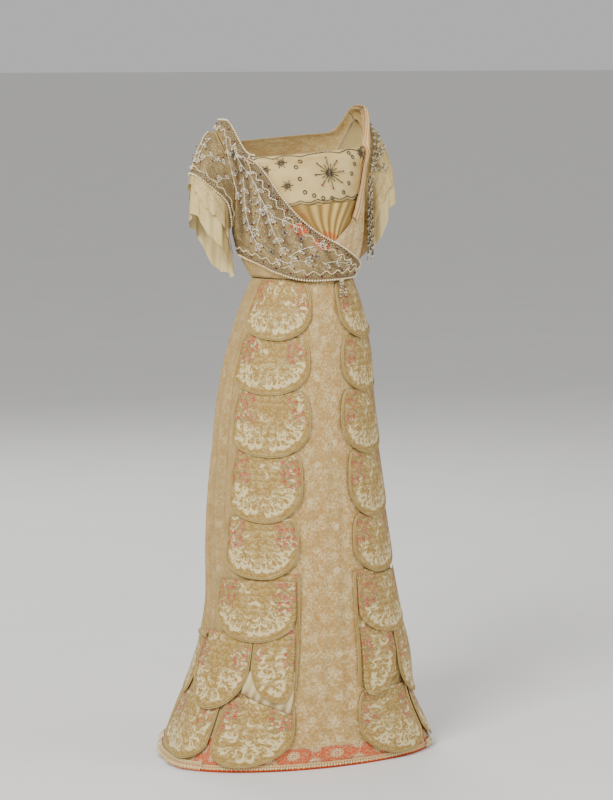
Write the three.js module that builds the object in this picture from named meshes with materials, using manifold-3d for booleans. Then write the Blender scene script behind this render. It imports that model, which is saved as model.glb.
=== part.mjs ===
// Evening dress of about 1911, worn: a straight skirt with a small train under a crossed, beaded bodice.
// Millimetres, +Z up, front towards -Y, the wearer's left is +X.
// The origin is midway between the shoulders, on top of them, where the wearer carries the dress.
import * as THREE from "three";
import { mergeVertices } from "three/addons/utils/BufferGeometryUtils.js";
import Module from "manifold-3d";

const wasm = await Module();
wasm.setup();

// ---- Driving dimensions ----------------------------------------------------------------------
const FLOOR = -1336;
const WAIST = -330;
const CLOTH = 1.4;
const SEAM = 0.3;
const SHOULDER_TILT = 0.075;
const DEGREE = Math.PI / 180;

// One row for each level ring of the skirt: its height, the Y of its widest line, and its reach each way.
const SKIRT_RINGS = [
  { height: FLOOR, middle: -38, right: 277, left: 301, front: 149, back: 335 },
  { height: -1306, middle: -38, right: 268, left: 296, front: 150, back: 315 },
  { height: -1213, middle: -38, right: 231, left: 254, front: 151, back: 260 },
  { height: -1110, middle: -38, right: 200, left: 240, front: 152, back: 215 },
  { height: -1006, middle: -38, right: 186, left: 214, front: 152, back: 175 },
  { height: -900, middle: -38, right: 184, left: 198, front: 152, back: 150 },
  { height: -799, middle: -38, right: 182, left: 184, front: 152, back: 140 },
  { height: -696, middle: -38, right: 174, left: 170, front: 152, back: 132 },
  { height: -592, middle: -38, right: 164, left: 158, front: 150, back: 126 },
  { height: -468, middle: -40, right: 142, left: 148, front: 145, back: 116 },
  { height: -385, middle: -44, right: 118, left: 124, front: 133, back: 100 },
  { height: WAIST, middle: -50, right: 96, left: 105, front: 112, back: 82 },
];

// One row for each ring of the bodice, from the waist over the shoulders to the neck edge. Its z holds the
// heights at the front, side and back. Power 2 is an ellipse and more is squarer.
const BODICE_RINGS = [
  { level: 0, z: [WAIST, WAIST, WAIST], middle: -50, side: 100, front: 112, back: 82, power: 2 },
  { level: 0.1, z: [-300, -298, -298], middle: -48, side: 117, front: 122, back: 94, power: 2 },
  { level: 0.2, z: [-258, -256, -256], middle: -44, side: 129, front: 128, back: 104, power: 2 },
  { level: 0.35, z: [-205, -203, -203], middle: -38, side: 136, front: 127, back: 111, power: 2 },
  { level: 0.5, z: [-152, -150, -152], middle: -30, side: 140, front: 124, back: 112, power: 2.1 },
  { level: 0.65, z: [-114, -100, -112], middle: -22, side: 146, front: 120, back: 106, power: 2.3 },
  { level: 0.8, z: [-92, -52, -80], middle: -16, side: 156, front: 114, back: 98, power: 2.5 },
  { level: 0.92, z: [-82, -14, -60], middle: -12, side: 158, front: 110, back: 90, power: 2.7 },
  { level: 1, z: [-78, 0, -50], middle: -10, side: 146, front: 107, back: 84, power: 2.8 },
].map(({ z: [frontZ, sideZ, backZ], ...row }) => ({ frontZ, sideZ, backZ, ...row }));

// The levels of the bodice's rings of corners, just above the skirt at the waist. Columns of its front crowd
// where the square neck turns its corners, and the rows of the drapes where they cross over the front.
const LEVELS = [0.0055, 0.1, 0.2, 0.3, 0.4, 0.5, 0.6, 0.72, 0.82, 0.9, 0.95, 1];
const FRONT_COLUMNS = [0, 0.07, 0.14, 0.19, 0.24, 0.28, 0.32, 0.36, 0.41, 0.46];
const BACK_COLUMNS = 12;
const CROSSING_LEVELS = [0.07, 0.1, 0.15, 0.2, 0.25, 0.3];

// Thin layers lie over each other: how far each starts from the surface that it follows.
const FIRST_LAYER = 3.5;
const SECOND_LAYER = 6.9;
const THIRD_LAYER = 9.2;
const LAYER_STEP = SECOND_LAYER - FIRST_LAYER;
// Where a layer is sewn down it comes this much closer.
const SEWN_DOWN = { petal: 0.75, drape: 1.3, yoke: 0.6 };
const PIPING = 1.2;
const SEAM_TURN = 0.12;
// Cloth is laid clear of an armhole's edge by this turn and level, so that the sleeve's seam has room.
const ARMHOLE_MARGIN = { turn: 5, level: 0.055 };

// The coral underskirt shows below the lace, so the lace hem is this much shorter.
const HEM_SHOWS = 14;
const UNDERSKIRT_RISE = 98;
const RUFFLE = { from: 62, to: 298, low: 2, high: 19, flare: 7, wave: 3, waves: 16 };
// The skirt's rings of corners between the underskirt and the waist, and the turns of its side seams.
const SKIRT_HEIGHTS = [-1190, -1140, -1080, -1000, -840, -650, -480, -385];
const FRONT_GORE = 48;
const SIDE_GORE = 128;

// A fold stands out by its depth where the skirt's reach is this.
const FOLD_BASE = 150;
// One row for each soft fold of the skirt, the same on both sides. It starts at top and is full at full. The
// side folds end above the petals, between fade and end, and the back folds run on to the hem.
const SKIRT_FOLDS = [
  { turn: 88, width: 5.5, depth: 5, top: -400, full: -620, fade: -880, end: -1030 },
  { turn: 101, width: 5.5, depth: 6, top: -400, full: -620, fade: -880, end: -1030 },
  { turn: 115, width: 6, depth: 6, top: -400, full: -620, fade: -880, end: -1030 },
  { turn: 136, width: 6, depth: 7, top: -380, full: -1000, fade: -2000, end: -2001 },
  { turn: 151, width: 6, depth: 8, top: -380, full: -1000, fade: -2000, end: -2001 },
  { turn: 166, width: 6, depth: 9, top: -380, full: -1000, fade: -2000, end: -2001 },
  { turn: 180, width: 5, depth: 8, top: -380, full: -1000, fade: -2000, end: -2001 },
];

// The outline of a petal: tip is where its lowest point lies from inner to outer, the rounds are how far
// down each edge starts to curve in, under is how many layers lie beneath its top, rise how many it climbs.
const SCALLOP = { tip: 0.45, innerRound: 0.5, outerRound: 0.7, under: 0, rise: 1 };
const STRIP = { tip: 0.5, innerRound: 0.94, outerRound: 0.94, under: 0, rise: 0 };
const LOW_SCALLOP = { tip: 0.45, innerRound: 0.55, outerRound: 0.45, under: 0.96, rise: 1 };
const CORNER = { tip: 0.2, innerRound: 0.75, outerRound: 0.35, under: 0.95, rise: 1 };
const SIDE_LEAF = { tip: 0.5, innerRound: 0.45, outerRound: 0.45, under: 1, rise: 1 };
const BACK_LEAF = { tip: 0.3, innerRound: 0.4, outerRound: 0.5, under: 0.05, rise: 1 };
const HEM_LEAF = { tip: 0.6, innerRound: 0.55, outerRound: 0.7, under: 0, rise: 1 };
const SIDE_HEM_LEAF = { tip: 0.4, innerRound: 0.7, outerRound: 0.6, under: 0.14, rise: 1 };

// A row for each figured-silk petal beside the front panel, alike on both sides; inner and outer are turns.
const PETALS = [
  { ...SCALLOP, name: "scallop_1", top: -334, bottom: -452, inner: 13.3, outer: 75 },
  { ...SCALLOP, name: "scallop_2", top: -444, bottom: -562, inner: 13.3, outer: 75.5, under: -0.3 },
  { ...SCALLOP, name: "scallop_3", top: -554, bottom: -688, inner: 11.7, outer: 70.4, under: 0.08 },
  { ...SCALLOP, name: "scallop_4", top: -678, bottom: -822, inner: 16.4, outer: 68.3 },
  { ...SCALLOP, name: "scallop_5", top: -812, bottom: -938, inner: 18.4, outer: 70.7 },
  { ...STRIP, name: "long_panel", top: -928, bottom: -1176, inner: 17.6, outer: 50 },
  { ...LOW_SCALLOP, name: "scallop_6", top: -942, bottom: -1068, inner: 21, outer: 79 },
  { ...CORNER, name: "scallop_7", top: -1050, bottom: -1192, inner: 21, outer: 46 },
  { ...SIDE_LEAF, name: "side_petal_upper", top: -1054, bottom: -1212, inner: 47, outer: 96 },
  { ...BACK_LEAF, name: "side_petal_back", top: -1075, bottom: -1200, inner: 97, outer: 126 },
  { ...HEM_LEAF, name: "hem_petal_front", top: -1182, bottom: -1324, inner: 16.6, outer: 59 },
  { ...SIDE_HEM_LEAF, name: "hem_petal_side", top: -1188, bottom: -1315, inner: 62, outer: 112 },
];
// Where the columns and rows of a petal lie, from edge to edge and from tip to top; the rim is piped.
const PETAL_COLUMNS = [0, 0.08, 0.29, 0.5, 0.71, 0.92, 1];
const PETAL_ROWS = [0.985, 0.93, 0.8, 0.5, 0.2, 0];
const PETAL_RIM = { edge: 0.03, from: 0.12 };

// Where the crossed drapes end towards the front and the back, in turns: the right one crosses over.
const DRAPE_EDGES = [
  { level: 0, right: 64, left: -20, back: 205 },
  { level: 0.08, right: 56, left: -12, back: 196 },
  { level: 0.16, right: 26, left: 0, back: 187 },
  { level: 0.24, right: 0, left: 16, back: 177 },
  { level: 0.325, right: -15, left: 32, back: 168 },
  { level: 0.485, right: -31, left: 44, back: 153 },
  { level: 0.65, right: -38, left: 47, back: 143 },
  { level: 0.85, right: -41, left: 46, back: 138 },
  { level: 1, right: -44, left: 45, back: 134 },
];
// The right drape's lower edge rises towards the side, by this much of a level.
const DRAPE_RISE = [
  { turn: -205, rise: 0 },
  { turn: -150, rise: 0.07 },
  { turn: -104, rise: 0.13 },
  { turn: -68, rise: 0.1 },
  { turn: -42, rise: 0.045 },
  { turn: -15, rise: 0 },
  { turn: 64, rise: 0.02 },
];
// The left drape ends at this level, under the right one.
const DRAPE_TUCK = 0.04;
const YOKE = { low: 0.44, high: 0.985, right: -46, left: 55, scallop: 0.012, scallops: 7 };
const GATHERS = {
  low: 0.2, high: 0.42, lowRight: -3, lowLeft: 17, highRight: -34, highLeft: 50, pleats: 5, depth: 0.8,
};

// The folded band along the left drape's edge: one row for each point, from the shoulder to the crossing.
const NECK_BAND = [
  { along: 0, turn: 103.5, level: 0.99, wideTurn: 103.5, wideLevel: 0.955 },
  { along: 0.25, turn: 75, level: 0.99, wideTurn: 76, wideLevel: 0.955 },
  { along: 0.42, turn: 50, level: 0.985, wideTurn: 56, wideLevel: 0.94 },
  { along: 0.5, turn: 45.5, level: 0.95, wideTurn: 51, wideLevel: 0.9 },
  { along: 0.6, turn: 46, level: 0.8, wideTurn: 52, wideLevel: 0.8 },
  { along: 0.7, turn: 47, level: 0.65, wideTurn: 53, wideLevel: 0.65 },
  { along: 0.78, turn: 45, level: 0.52, wideTurn: 51.5, wideLevel: 0.51 },
  { along: 0.86, turn: 39, level: 0.43, wideTurn: 46, wideLevel: 0.41 },
  { along: 0.93, turn: 31, level: 0.34, wideTurn: 37, wideLevel: 0.315 },
];
const BAND_ROWS = 28;

// How far along each sleeve its lace or beaded cap reaches, by the place around it.
const CAP_EDGES = [
  { around: -150, right: 0.2, left: 0.3 },
  { around: -90, right: 0.36, left: 0.55 },
  { around: -40, right: 0.52, left: 0.76 },
  { around: 0, right: 0.6, left: 0.82 },
  { around: 40, right: 0.57, left: 0.78 },
  { around: 70, right: 0.5, left: 0.66 },
  { around: 90, right: 0.4, left: 0.55 },
  { around: 110, right: 0.3, left: 0.45 },
  { around: 150, right: 0.24, left: 0.35 },
];
const CAP_START = 0.08;
const CAP_TURN = 144;
const CAP_COLUMNS = 16;
const CAP_ROWS = [0, 0.25, 0.5, 0.75, 0.94, 1];
const SLEEVE_ROWS = 8;
const SLEEVE_COLUMNS = 20;

// The bead strings of the left shoulder: each loops from the head to a crest and back, on the sleeve.
const FESTOON_HEAD = { around: 90, along: 0.21, size: 9, flat: 0.35 };
const FESTOON_LOOPS = [
  { direction: -16, reach: 62, spread: 5.5 },
  { direction: 14, reach: 56, spread: 5.5 },
  { direction: 40, reach: 58, spread: 5.5 },
  { direction: 66, reach: 66, spread: 5.5 },
];
const SLEEVE_SCALE = { around: 1.1, along: 0.0047 };
const BEAD = 2.2;
// Each tassel hangs from a small block: its middle and size, the strands' own place, and how far they lean.
const SHOULDER_TASSEL = {
  block: { x: 155, y: -69, z: -129.8, wide: 12, deep: 20, tall: 4.4 },
  x: 151, y: -77, lean: 0, length: 168, strands: 4, spread: 3.4,
};
const WAIST_TASSEL = {
  block: { x: 43, y: -170.2, z: -333.4, wide: 8, deep: 5, tall: 5 },
  x: 43, y: -171, lean: -11, length: 30, strands: 5, spread: 3.6,
};

const ARMHOLE = { turn: 104, level: 0.6, halfTurn: 22, halfLevel: 0.3 };
// The cuff is an ellipse that hangs far lower towards the body than at the outside of the arm.
const CUFF = { middleX: 182, middleY: -20, halfWidth: 43, halfDepth: 54, height: -256, slant: 66 };

// How a sleeve leaves its armhole and comes down on its cuff, with more of it over the shoulder.
const SLEEVE_LEAVES = { out: 36, over: 14, drop: 10 };
const SLEEVE_ARRIVES = { up: 52, over: 18 };

// ---- Helpers ---------------------------------------------------------------------------------
// A smooth curve through one column of a table.
function column(rows, at, name) {
  const ordered = [...rows].sort((a, b) => a[at] - b[at]);
  const x = ordered.map((row) => row[at]);
  const y = ordered.map((row) => row[name]);
  const last = x.length - 1;
  const slope = x.map((_, i) => {
    const low = Math.max(i - 1, 0);
    const high = Math.min(i + 1, last);
    return (y[high] - y[low]) / (x[high] - x[low]);
  });
  return (value) => {
    const clamped = Math.min(Math.max(value, x[0]), x[last]);
    let i = 0;
    while (i < last - 1 && clamped > x[i + 1]) i++;
    const span = x[i + 1] - x[i];
    const t = (clamped - x[i]) / span;
    const t2 = t * t;
    const t3 = t2 * t;
    return (
      (2 * t3 - 3 * t2 + 1) * y[i] +
      (t3 - 2 * t2 + t) * span * slope[i] +
      (3 * t2 - 2 * t3) * y[i + 1] +
      (t3 - t2) * span * slope[i + 1]
    );
  };
}

const columns = (rows, at, names) => Object.fromEntries(names.map((name) => [name, column(rows, at, name)]));

const steps = (from, to, count) =>
  Array.from({ length: count + 1 }, (_, i) => from + ((to - from) * i) / count);

const smooth = THREE.MathUtils.smoothstep;

// ---- Surfaces: turn is the angle from centre front, in degrees, growing towards the wearer's left ----
const skirtRing = columns(SKIRT_RINGS, "height", ["middle", "right", "left", "front", "back"]);
function foldAt(turn, height) {
  const around = Math.abs(((turn + 540) % 360) - 180);
  return SKIRT_FOLDS.reduce((sum, fold) => {
    const long = smooth(height, fold.end, fold.fade) * (1 - smooth(height, fold.full, fold.top));
    return sum + fold.depth * long * Math.exp(-(((around - fold.turn) / fold.width) ** 2));
  }, 0);
}

function skirtAt(turn, height) {
  const across = Math.sin(turn * DEGREE);
  const ahead = Math.cos(turn * DEGREE);
  const full = 1 + foldAt(turn, height) / FOLD_BASE;
  const x = full * across * (across > 0 ? skirtRing.left(height) : skirtRing.right(height));
  const reach = ahead > 0 ? skirtRing.front(height) : skirtRing.back(height);
  return new THREE.Vector3(x, skirtRing.middle(height) - full * ahead * reach, height);
}

const bodiceRing = columns(BODICE_RINGS, "level", [
  "frontZ", "sideZ", "backZ", "middle", "side", "front", "back", "power",
]);
function bodiceAt(turn, level) {
  const across = Math.sin(turn * DEGREE);
  const ahead = Math.cos(turn * DEGREE);
  const power = 2 / bodiceRing.power(level);
  const reach = ahead > 0 ? bodiceRing.front(level) : bodiceRing.back(level);
  const x = Math.sign(across) * Math.abs(across) ** power * bodiceRing.side(level);
  const y = bodiceRing.middle(level) - Math.sign(ahead) * Math.abs(ahead) ** power * reach;
  const side = bodiceRing.sideZ(level);
  const end = ahead > 0 ? bodiceRing.frontZ(level) : bodiceRing.backZ(level);
  const z = side + (end - side) * smooth(Math.abs(ahead), 0.08, 0.72);
  return new THREE.Vector3(x, y, z + SHOULDER_TILT * x * smooth(level, 0.05, 0.5));
}

// A point of a surface moved out along its normal.
function lifted(surface, u, v, distance) {
  const small = 1e-3;
  const alongU = surface(u + small, v).sub(surface(u - small, v));
  const alongV = surface(u, v + small).sub(surface(u, v - small));
  return surface(u, v).addScaledVector(alongU.cross(alongV).normalize(), distance);
}

// A sleeve runs from its armhole to its cuff: around is 0 over the shoulder, and along is 0 at the armhole.
function sleeveAt(side, around, along) {
  const over = Math.cos(around * DEGREE);
  const ahead = side * Math.sin(around * DEGREE);
  const level = ARMHOLE.level + ARMHOLE.halfLevel * over;
  const turn = side * (ARMHOLE.turn - ARMHOLE.halfTurn * ahead);
  const start = lifted(bodiceAt, turn, level, CLOTH + 2 * SEAM);
  const cuffX = CUFF.middleX + CUFF.halfWidth * over;
  const end = new THREE.Vector3(
    side * cuffX,
    CUFF.middleY - CUFF.halfDepth * ahead,
    CUFF.height + CUFF.slant * over + SHOULDER_TILT * side * cuffX,
  );
  const out = side * (SLEEVE_LEAVES.out + SLEEVE_LEAVES.over * over);
  const leave = start.clone().add(new THREE.Vector3(out, 0, -SLEEVE_LEAVES.drop));
  const arrive = end.clone().add(new THREE.Vector3(0, 0, SLEEVE_ARRIVES.up + SLEEVE_ARRIVES.over * over));
  return new THREE.CubicBezierCurve3(start, leave, arrive, end).getPoint(along);
}

// A closed wall over a grid of u and v, between two distances from the surface that point gives.
function gridWall(us, vs, point, inner, outer, closed) {
  const position = [];
  const grids = [inner, outer].map((distance) =>
    us.map((u) =>
      vs.map((v) => {
        const at = point(u, v, typeof distance === "function" ? distance(u, v) : distance);
        position.push(at.x, at.y, at.z);
        return position.length / 3 - 1;
      }),
    ),
  );
  const [inside, outside] = grids;
  const index = [];
  const quad = (a, b, c, d) => index.push(a, b, c, a, c, d);
  const end = us.length - 1;
  const top = vs.length - 1;
  for (let i = 0; i < (closed ? us.length : end); i++) {
    const j = (i + 1) % us.length;
    for (let k = 0; k < top; k++) {
      quad(outside[i][k], outside[j][k], outside[j][k + 1], outside[i][k + 1]);
      quad(inside[i][k], inside[i][k + 1], inside[j][k + 1], inside[j][k]);
    }
    quad(inside[i][0], inside[j][0], outside[j][0], outside[i][0]);
    quad(outside[i][top], outside[j][top], inside[j][top], inside[i][top]);
  }
  for (let k = 0; k < top && !closed; k++) {
    quad(inside[0][k], outside[0][k], outside[0][k + 1], inside[0][k + 1]);
    quad(outside[end][k], inside[end][k], inside[end][k + 1], outside[end][k + 1]);
  }
  const geometry = new THREE.BufferGeometry();
  geometry.setAttribute("position", new THREE.Float32BufferAttribute(position, 3));
  geometry.setIndex(volume(position, index) < 0 ? index.reverse() : index);
  return geometry;
}

// The volume that a closed mesh holds, negative where its faces point inwards.
function volume(position, index) {
  const corner = (i) => new THREE.Vector3().fromArray(position, 3 * index[i]);
  let sum = 0;
  for (let i = 0; i < index.length; i += 3) sum += corner(i).dot(corner(i + 1).cross(corner(i + 2)));
  return sum;
}

const wall = (surface, us, vs, inner, outer, closed = false) =>
  gridWall(us, vs, (u, v, distance) => lifted(surface, u, v, distance), inner, outer, closed);

// A closed wall over part of a surface: place gives the surface's coordinates for each u and v of the piece.
function laid(surface, place, us, vs, inner, outer) {
  return gridWall(
    us,
    vs,
    (u, v, distance) => lifted(surface, ...place(u, v), distance),
    inner,
    outer,
    false,
  );
}

// ---- Pieces ----------------------------------------------------------------------------------
const dress = new THREE.Group();
const LACE = 0xbda882;
const BROCADE = 0xbba67f;
const CHIFFON = 0xc2b28c;
const NET = 0xa8926a;
const CORAL = 0xc8644b;
const PEARL = 0xe6dcc4;

function add(name, geometry, color, roughness = 0.8) {
  const mesh = new THREE.Mesh(geometry, new THREE.MeshStandardMaterial({ color, roughness, metalness: 0 }));
  mesh.name = name;
  dress.add(mesh);
}

const SIDES = [
  { name: "right", side: -1 },
  { name: "left", side: 1 },
];

// Skirt: four gores of lace, the coral underskirt's hem behind them and the lace edging at their foot.
const LACE_HEM = FLOOR + HEM_SHOWS;
const LOW_HEIGHTS = [LACE_HEM, FLOOR + UNDERSKIRT_RISE / 2, FLOOR + UNDERSKIRT_RISE];
const GORE_HEIGHTS = [...LOW_HEIGHTS, ...SKIRT_HEIGHTS, WAIST];
const GORES = [
  { name: "skirt_front", from: -FRONT_GORE, to: FRONT_GORE, columns: 10 },
  { name: "skirt_side_left", from: FRONT_GORE, to: SIDE_GORE, columns: 12 },
  { name: "skirt_back", from: SIDE_GORE, to: 360 - SIDE_GORE, columns: 22 },
  { name: "skirt_side_right", from: 360 - SIDE_GORE, to: 360 - FRONT_GORE, columns: 12 },
];
const goreTurns = (gore) => steps(gore.from + SEAM_TURN, gore.to - SEAM_TURN, gore.columns);
for (const gore of GORES) add(gore.name, wall(skirtAt, goreTurns(gore), GORE_HEIGHTS, 0, CLOTH), LACE);

const allTurns = GORES.flatMap(goreTurns);
const hemHeights = [FLOOR, ...LOW_HEIGHTS];
add("underskirt_hem", wall(skirtAt, allTurns, hemHeights, -CLOTH - SEAM, -SEAM, true), CORAL, 0.5);

const ruffleOut = (turn, height) => {
  const down = (FLOOR + RUFFLE.high - height) / (RUFFLE.high - RUFFLE.low);
  const wave = Math.cos((turn - RUFFLE.from) * DEGREE * RUFFLE.waves * (360 / (RUFFLE.to - RUFFLE.from)));
  return FIRST_LAYER + down * (RUFFLE.flare + RUFFLE.wave * wave);
};
const ruffleHeights = [FLOOR + RUFFLE.low, FLOOR + RUFFLE.high];
const ruffleTurns = steps(RUFFLE.from, RUFFLE.to, 4 * RUFFLE.waves);
const ruffleFace = (turn, height) => ruffleOut(turn, height) + CLOTH;
add("hem_ruffle", wall(skirtAt, ruffleTurns, ruffleHeights, ruffleOut, ruffleFace), LACE);

// Figured-silk scallops and petals, each shingled over the top of the next, with a piped edge.
function rounding(start, v) {
  return v > start ? 1 - Math.sqrt(1 - ((v - start) / (1 - start)) ** 2) : 0;
}

function petal(row, side) {
  const width = row.outer - row.inner;
  const height = row.bottom - row.top;
  const place = (u, v) => {
    const inner = row.tip * rounding(row.innerRound, v);
    const outer = 1 - (1 - row.tip) * rounding(row.outerRound, v);
    const across = side > 0 ? u : 1 - u;
    return [side * (row.inner + width * (inner + (outer - inner) * across)), row.top + height * v];
  };
  const near = (u, v) =>
    FIRST_LAYER - SEWN_DOWN.petal * (1 - v) ** 4 + LAYER_STEP * (row.under + row.rise * v);
  const piped = (u, v) => {
    const atEdge = Math.min(u, 1 - u, 1 - v) < PETAL_RIM.edge;
    return atEdge && v > PETAL_RIM.from ? PIPING : 0;
  };
  return laid(skirtAt, place, PETAL_COLUMNS, PETAL_ROWS, near, (u, v) => near(u, v) + CLOTH + piped(u, v));
}

for (const row of PETALS) {
  for (const { name, side } of SIDES) add(`${row.name}_${name}`, petal(row, side), BROCADE, 0.6);
}

// Bodice: a front and a back, with an oval armhole at each side and a seam under and over it.
function sideEdge(level, sense, margin = { turn: 0, level: 0 }) {
  const part = (level - ARMHOLE.level) / (ARMHOLE.halfLevel + margin.level);
  const inside = Math.sqrt(Math.max(0, 1 - part * part));
  return ARMHOLE.turn - sense * (SEAM_TURN + (ARMHOLE.halfTurn + margin.turn) * inside);
}
const across = (from, to) => (u, v) => [from(v) + (to(v) - from(v)) * u, v];
const frontOf = (v) => sideEdge(v, 1);
const backOf = (v) => sideEdge(v, -1);
const frontUs = [...FRONT_COLUMNS, ...FRONT_COLUMNS.map((u) => 1 - u).reverse()];
add("bodice_front", laid(bodiceAt, across((v) => -frontOf(v), frontOf), frontUs, LEVELS, 0, CLOTH), LACE);
const backPlace = across(backOf, (v) => 360 - backOf(v));
add("bodice_back", laid(bodiceAt, backPlace, steps(0, 1, BACK_COLUMNS), LEVELS, 0, CLOTH), LACE);

// The yoke of beaded net, with scalloped edges, and the chiffon gathered below it.
const LEVEL_GAP = 0.03;
const scallop = (u) => YOKE.scallop * Math.abs(Math.sin(Math.PI * YOKE.scallops * u));
const yokePlace = (u, v) => {
  const low = YOKE.low - scallop(u);
  const high = YOKE.high + scallop(u);
  return [YOKE.right + (YOKE.left - YOKE.right) * u, low + (high - low) * v];
};
function levelParts({ low, high }) {
  const between = LEVELS.filter((level) => level > low + LEVEL_GAP && level < high - LEVEL_GAP / 3);
  return [low, ...between, high].map((level) => (level - low) / (high - low));
}
const yokeUs = steps(0, 1, 2 * YOKE.scallops);
add("yoke", laid(bodiceAt, yokePlace, yokeUs, levelParts(YOKE), FIRST_LAYER, FIRST_LAYER + CLOTH), NET);

const gatherPlace = (u, v) => {
  const right = GATHERS.lowRight + (GATHERS.highRight - GATHERS.lowRight) * v;
  const left = GATHERS.lowLeft + (GATHERS.highLeft - GATHERS.lowLeft) * v;
  return [right + (left - right) * u, GATHERS.low + (GATHERS.high - GATHERS.low) * v];
};
const pleatOut = (u) => {
  const clear = smooth(Math.min(u, 1 - u), 0.25, 0.45);
  const pleat = 0.5 - 0.5 * Math.cos(2 * Math.PI * GATHERS.pleats * u);
  return FIRST_LAYER + CLOTH + clear * GATHERS.depth * pleat;
};
const gatherUs = steps(0, 1, 4 * GATHERS.pleats);
const gathers = laid(bodiceAt, gatherPlace, gatherUs, levelParts(GATHERS), FIRST_LAYER, pleatOut);
add("centre_gathers", gathers, CHIFFON);

// The crossed drapes: the right one is beaded, and its lower edge rises towards the side.
const drapeEdge = columns(DRAPE_EDGES, "level", ["right", "left", "back"]);
const riseAt = column(DRAPE_RISE, "turn", "rise");
const clearFront = (v) => sideEdge(v, 1, ARMHOLE_MARGIN);
const clearBack = (v) => sideEdge(v, -1, ARMHOLE_MARGIN);
const risen = (place) => (u, v) => {
  const [turn, level] = place(u, v);
  return [turn, level + riseAt(turn) * (1 - smooth(v, 0, 0.25))];
};
const overYoke = (turn) => smooth(turn, -60, -46);
const overLeft = (turn, level) => smooth(turn, -46, -30) * (1 - smooth(level, 0.3, 0.4));
const rightPlace = risen(across((v) => -clearFront(v), drapeEdge.right));
const rightNear = (u, v) => {
  const [turn, level] = rightPlace(u, v);
  return FIRST_LAYER + LAYER_STEP * (overYoke(turn) + overLeft(turn, level));
};
const leftPlace = across(drapeEdge.left, clearFront);
const leftNear = (u, v) =>
  SECOND_LAYER - SEWN_DOWN.yoke * smooth(v, 0.35, 0.5) - LAYER_STEP * smooth(leftPlace(u, v)[0], 58, 72);
const rightBackPlace = risen(across((v) => -drapeEdge.back(v), (v) => -clearBack(v)));
const rightBackNear = (u, v) => FIRST_LAYER + LAYER_STEP * (1 - smooth(rightBackPlace(u, v)[0], -160, -136));
const leftBackPlace = across(clearBack, drapeEdge.back);
const drapeUs = (count) => [0, 0.03, ...steps(1 / count, 1 - 1 / count, count - 2), 0.97, 1];
const drapeLevels = (low) => [low, ...CROSSING_LEVELS, ...LEVELS.filter((level) => level > 0.3)];
function drape(name, place, distance, seamU, count, beads) {
  const near = (u, v) => distance(u, v) - (u === seamU ? SEWN_DOWN.drape : 0);
  const out = (u, v) => near(u, v) + CLOTH + (Math.min(u, 1 - u, v) < 0.01 ? beads : 0);
  const levels = drapeLevels(beads ? LEVELS[0] : DRAPE_TUCK);
  add(name, laid(bodiceAt, place, drapeUs(count), levels, near, out), beads ? NET : LACE);
}
drape("drape_front_right", rightPlace, rightNear, 0, 14, PIPING);
drape("drape_front_left", leftPlace, leftNear, 1, 10, 0);
drape("drape_back_right", rightBackPlace, rightBackNear, 1, 9, PIPING);
drape("drape_back_left", leftBackPlace, () => FIRST_LAYER, 0, 9, 0);

const band = columns(NECK_BAND, "along", ["turn", "level", "wideTurn", "wideLevel"]);
const bandPlace = (u, v) => [
  band.turn(v) + (band.wideTurn(v) - band.turn(v)) * u,
  band.level(v) + (band.wideLevel(v) - band.level(v)) * u,
];
const bandRows = steps(NECK_BAND.at(-1).along, 0, BAND_ROWS);
const neckBand = laid(bodiceAt, bandPlace, [0, 1], bandRows, THIRD_LAYER, THIRD_LAYER + CLOTH);
add("neck_band_left", neckBand, CHIFFON);

// Sleeves of chiffon, each with a cap of beaded net or lace over its top.
const capEdge = columns(CAP_EDGES, "around", ["right", "left"]);
for (const { name, side } of SIDES) {
  const sleeve = (around, along) => sleeveAt(side, around, along);
  const arounds = steps(-180, 180, SLEEVE_COLUMNS).slice(0, SLEEVE_COLUMNS);
  add(`sleeve_${name}`, wall(sleeve, arounds, steps(0, 1, SLEEVE_ROWS), 0, CLOTH, true), CHIFFON);
  const place = (u, v) => {
    const around = CAP_TURN * (2 * u - 1);
    return [side * around, CAP_START + (capEdge[name](around) - CAP_START) * v];
  };
  const capOut = (u, v) => FIRST_LAYER + CLOTH + (v > 0.98 ? PIPING : 0);
  const cap = laid(sleeve, place, steps(0, 1, CAP_COLUMNS), CAP_ROWS, FIRST_LAYER, capOut);
  add(`cap_${name}`, cap, side < 0 ? NET : LACE);
}

// ---- Bead strings ----------------------------------------------------------------------------
// A strand of three sides through a few points.
function strand(points, width, pieces) {
  const section = new THREE.Shape();
  const half = width / 2;
  section.moveTo(-half, -half).lineTo(half, -half).lineTo(0, half).closePath();
  return new THREE.ExtrudeGeometry(section, {
    steps: pieces,
    bevelEnabled: false,
    extrudePath: new THREE.CatmullRomCurve3(points),
  });
}

function solid(geometry) {
  const bare = geometry.clone();
  bare.deleteAttribute("normal");
  bare.deleteAttribute("uv");
  const merged = mergeVertices(bare, 1e-4);
  return new wasm.Manifold(
    new wasm.Mesh({
      numProp: 3,
      vertProperties: new Float32Array(merged.getAttribute("position").array),
      triVerts: new Uint32Array(merged.getIndex().array),
    }),
  );
}

// Joined solids, without the crumbs that a join can leave where strands cross.
function fused(geometries) {
  const [first, ...rest] = geometries.map(solid);
  const bodies = rest.reduce((sum, next) => sum.add(next), first).decompose();
  const mesh = bodies.reduce((most, body) => (body.volume() > most.volume() ? body : most)).getMesh();
  const geometry = new THREE.BufferGeometry();
  geometry.setAttribute("position", new THREE.Float32BufferAttribute(mesh.vertProperties, 3));
  geometry.setIndex(Array.from(mesh.triVerts));
  return geometry;
}

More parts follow.
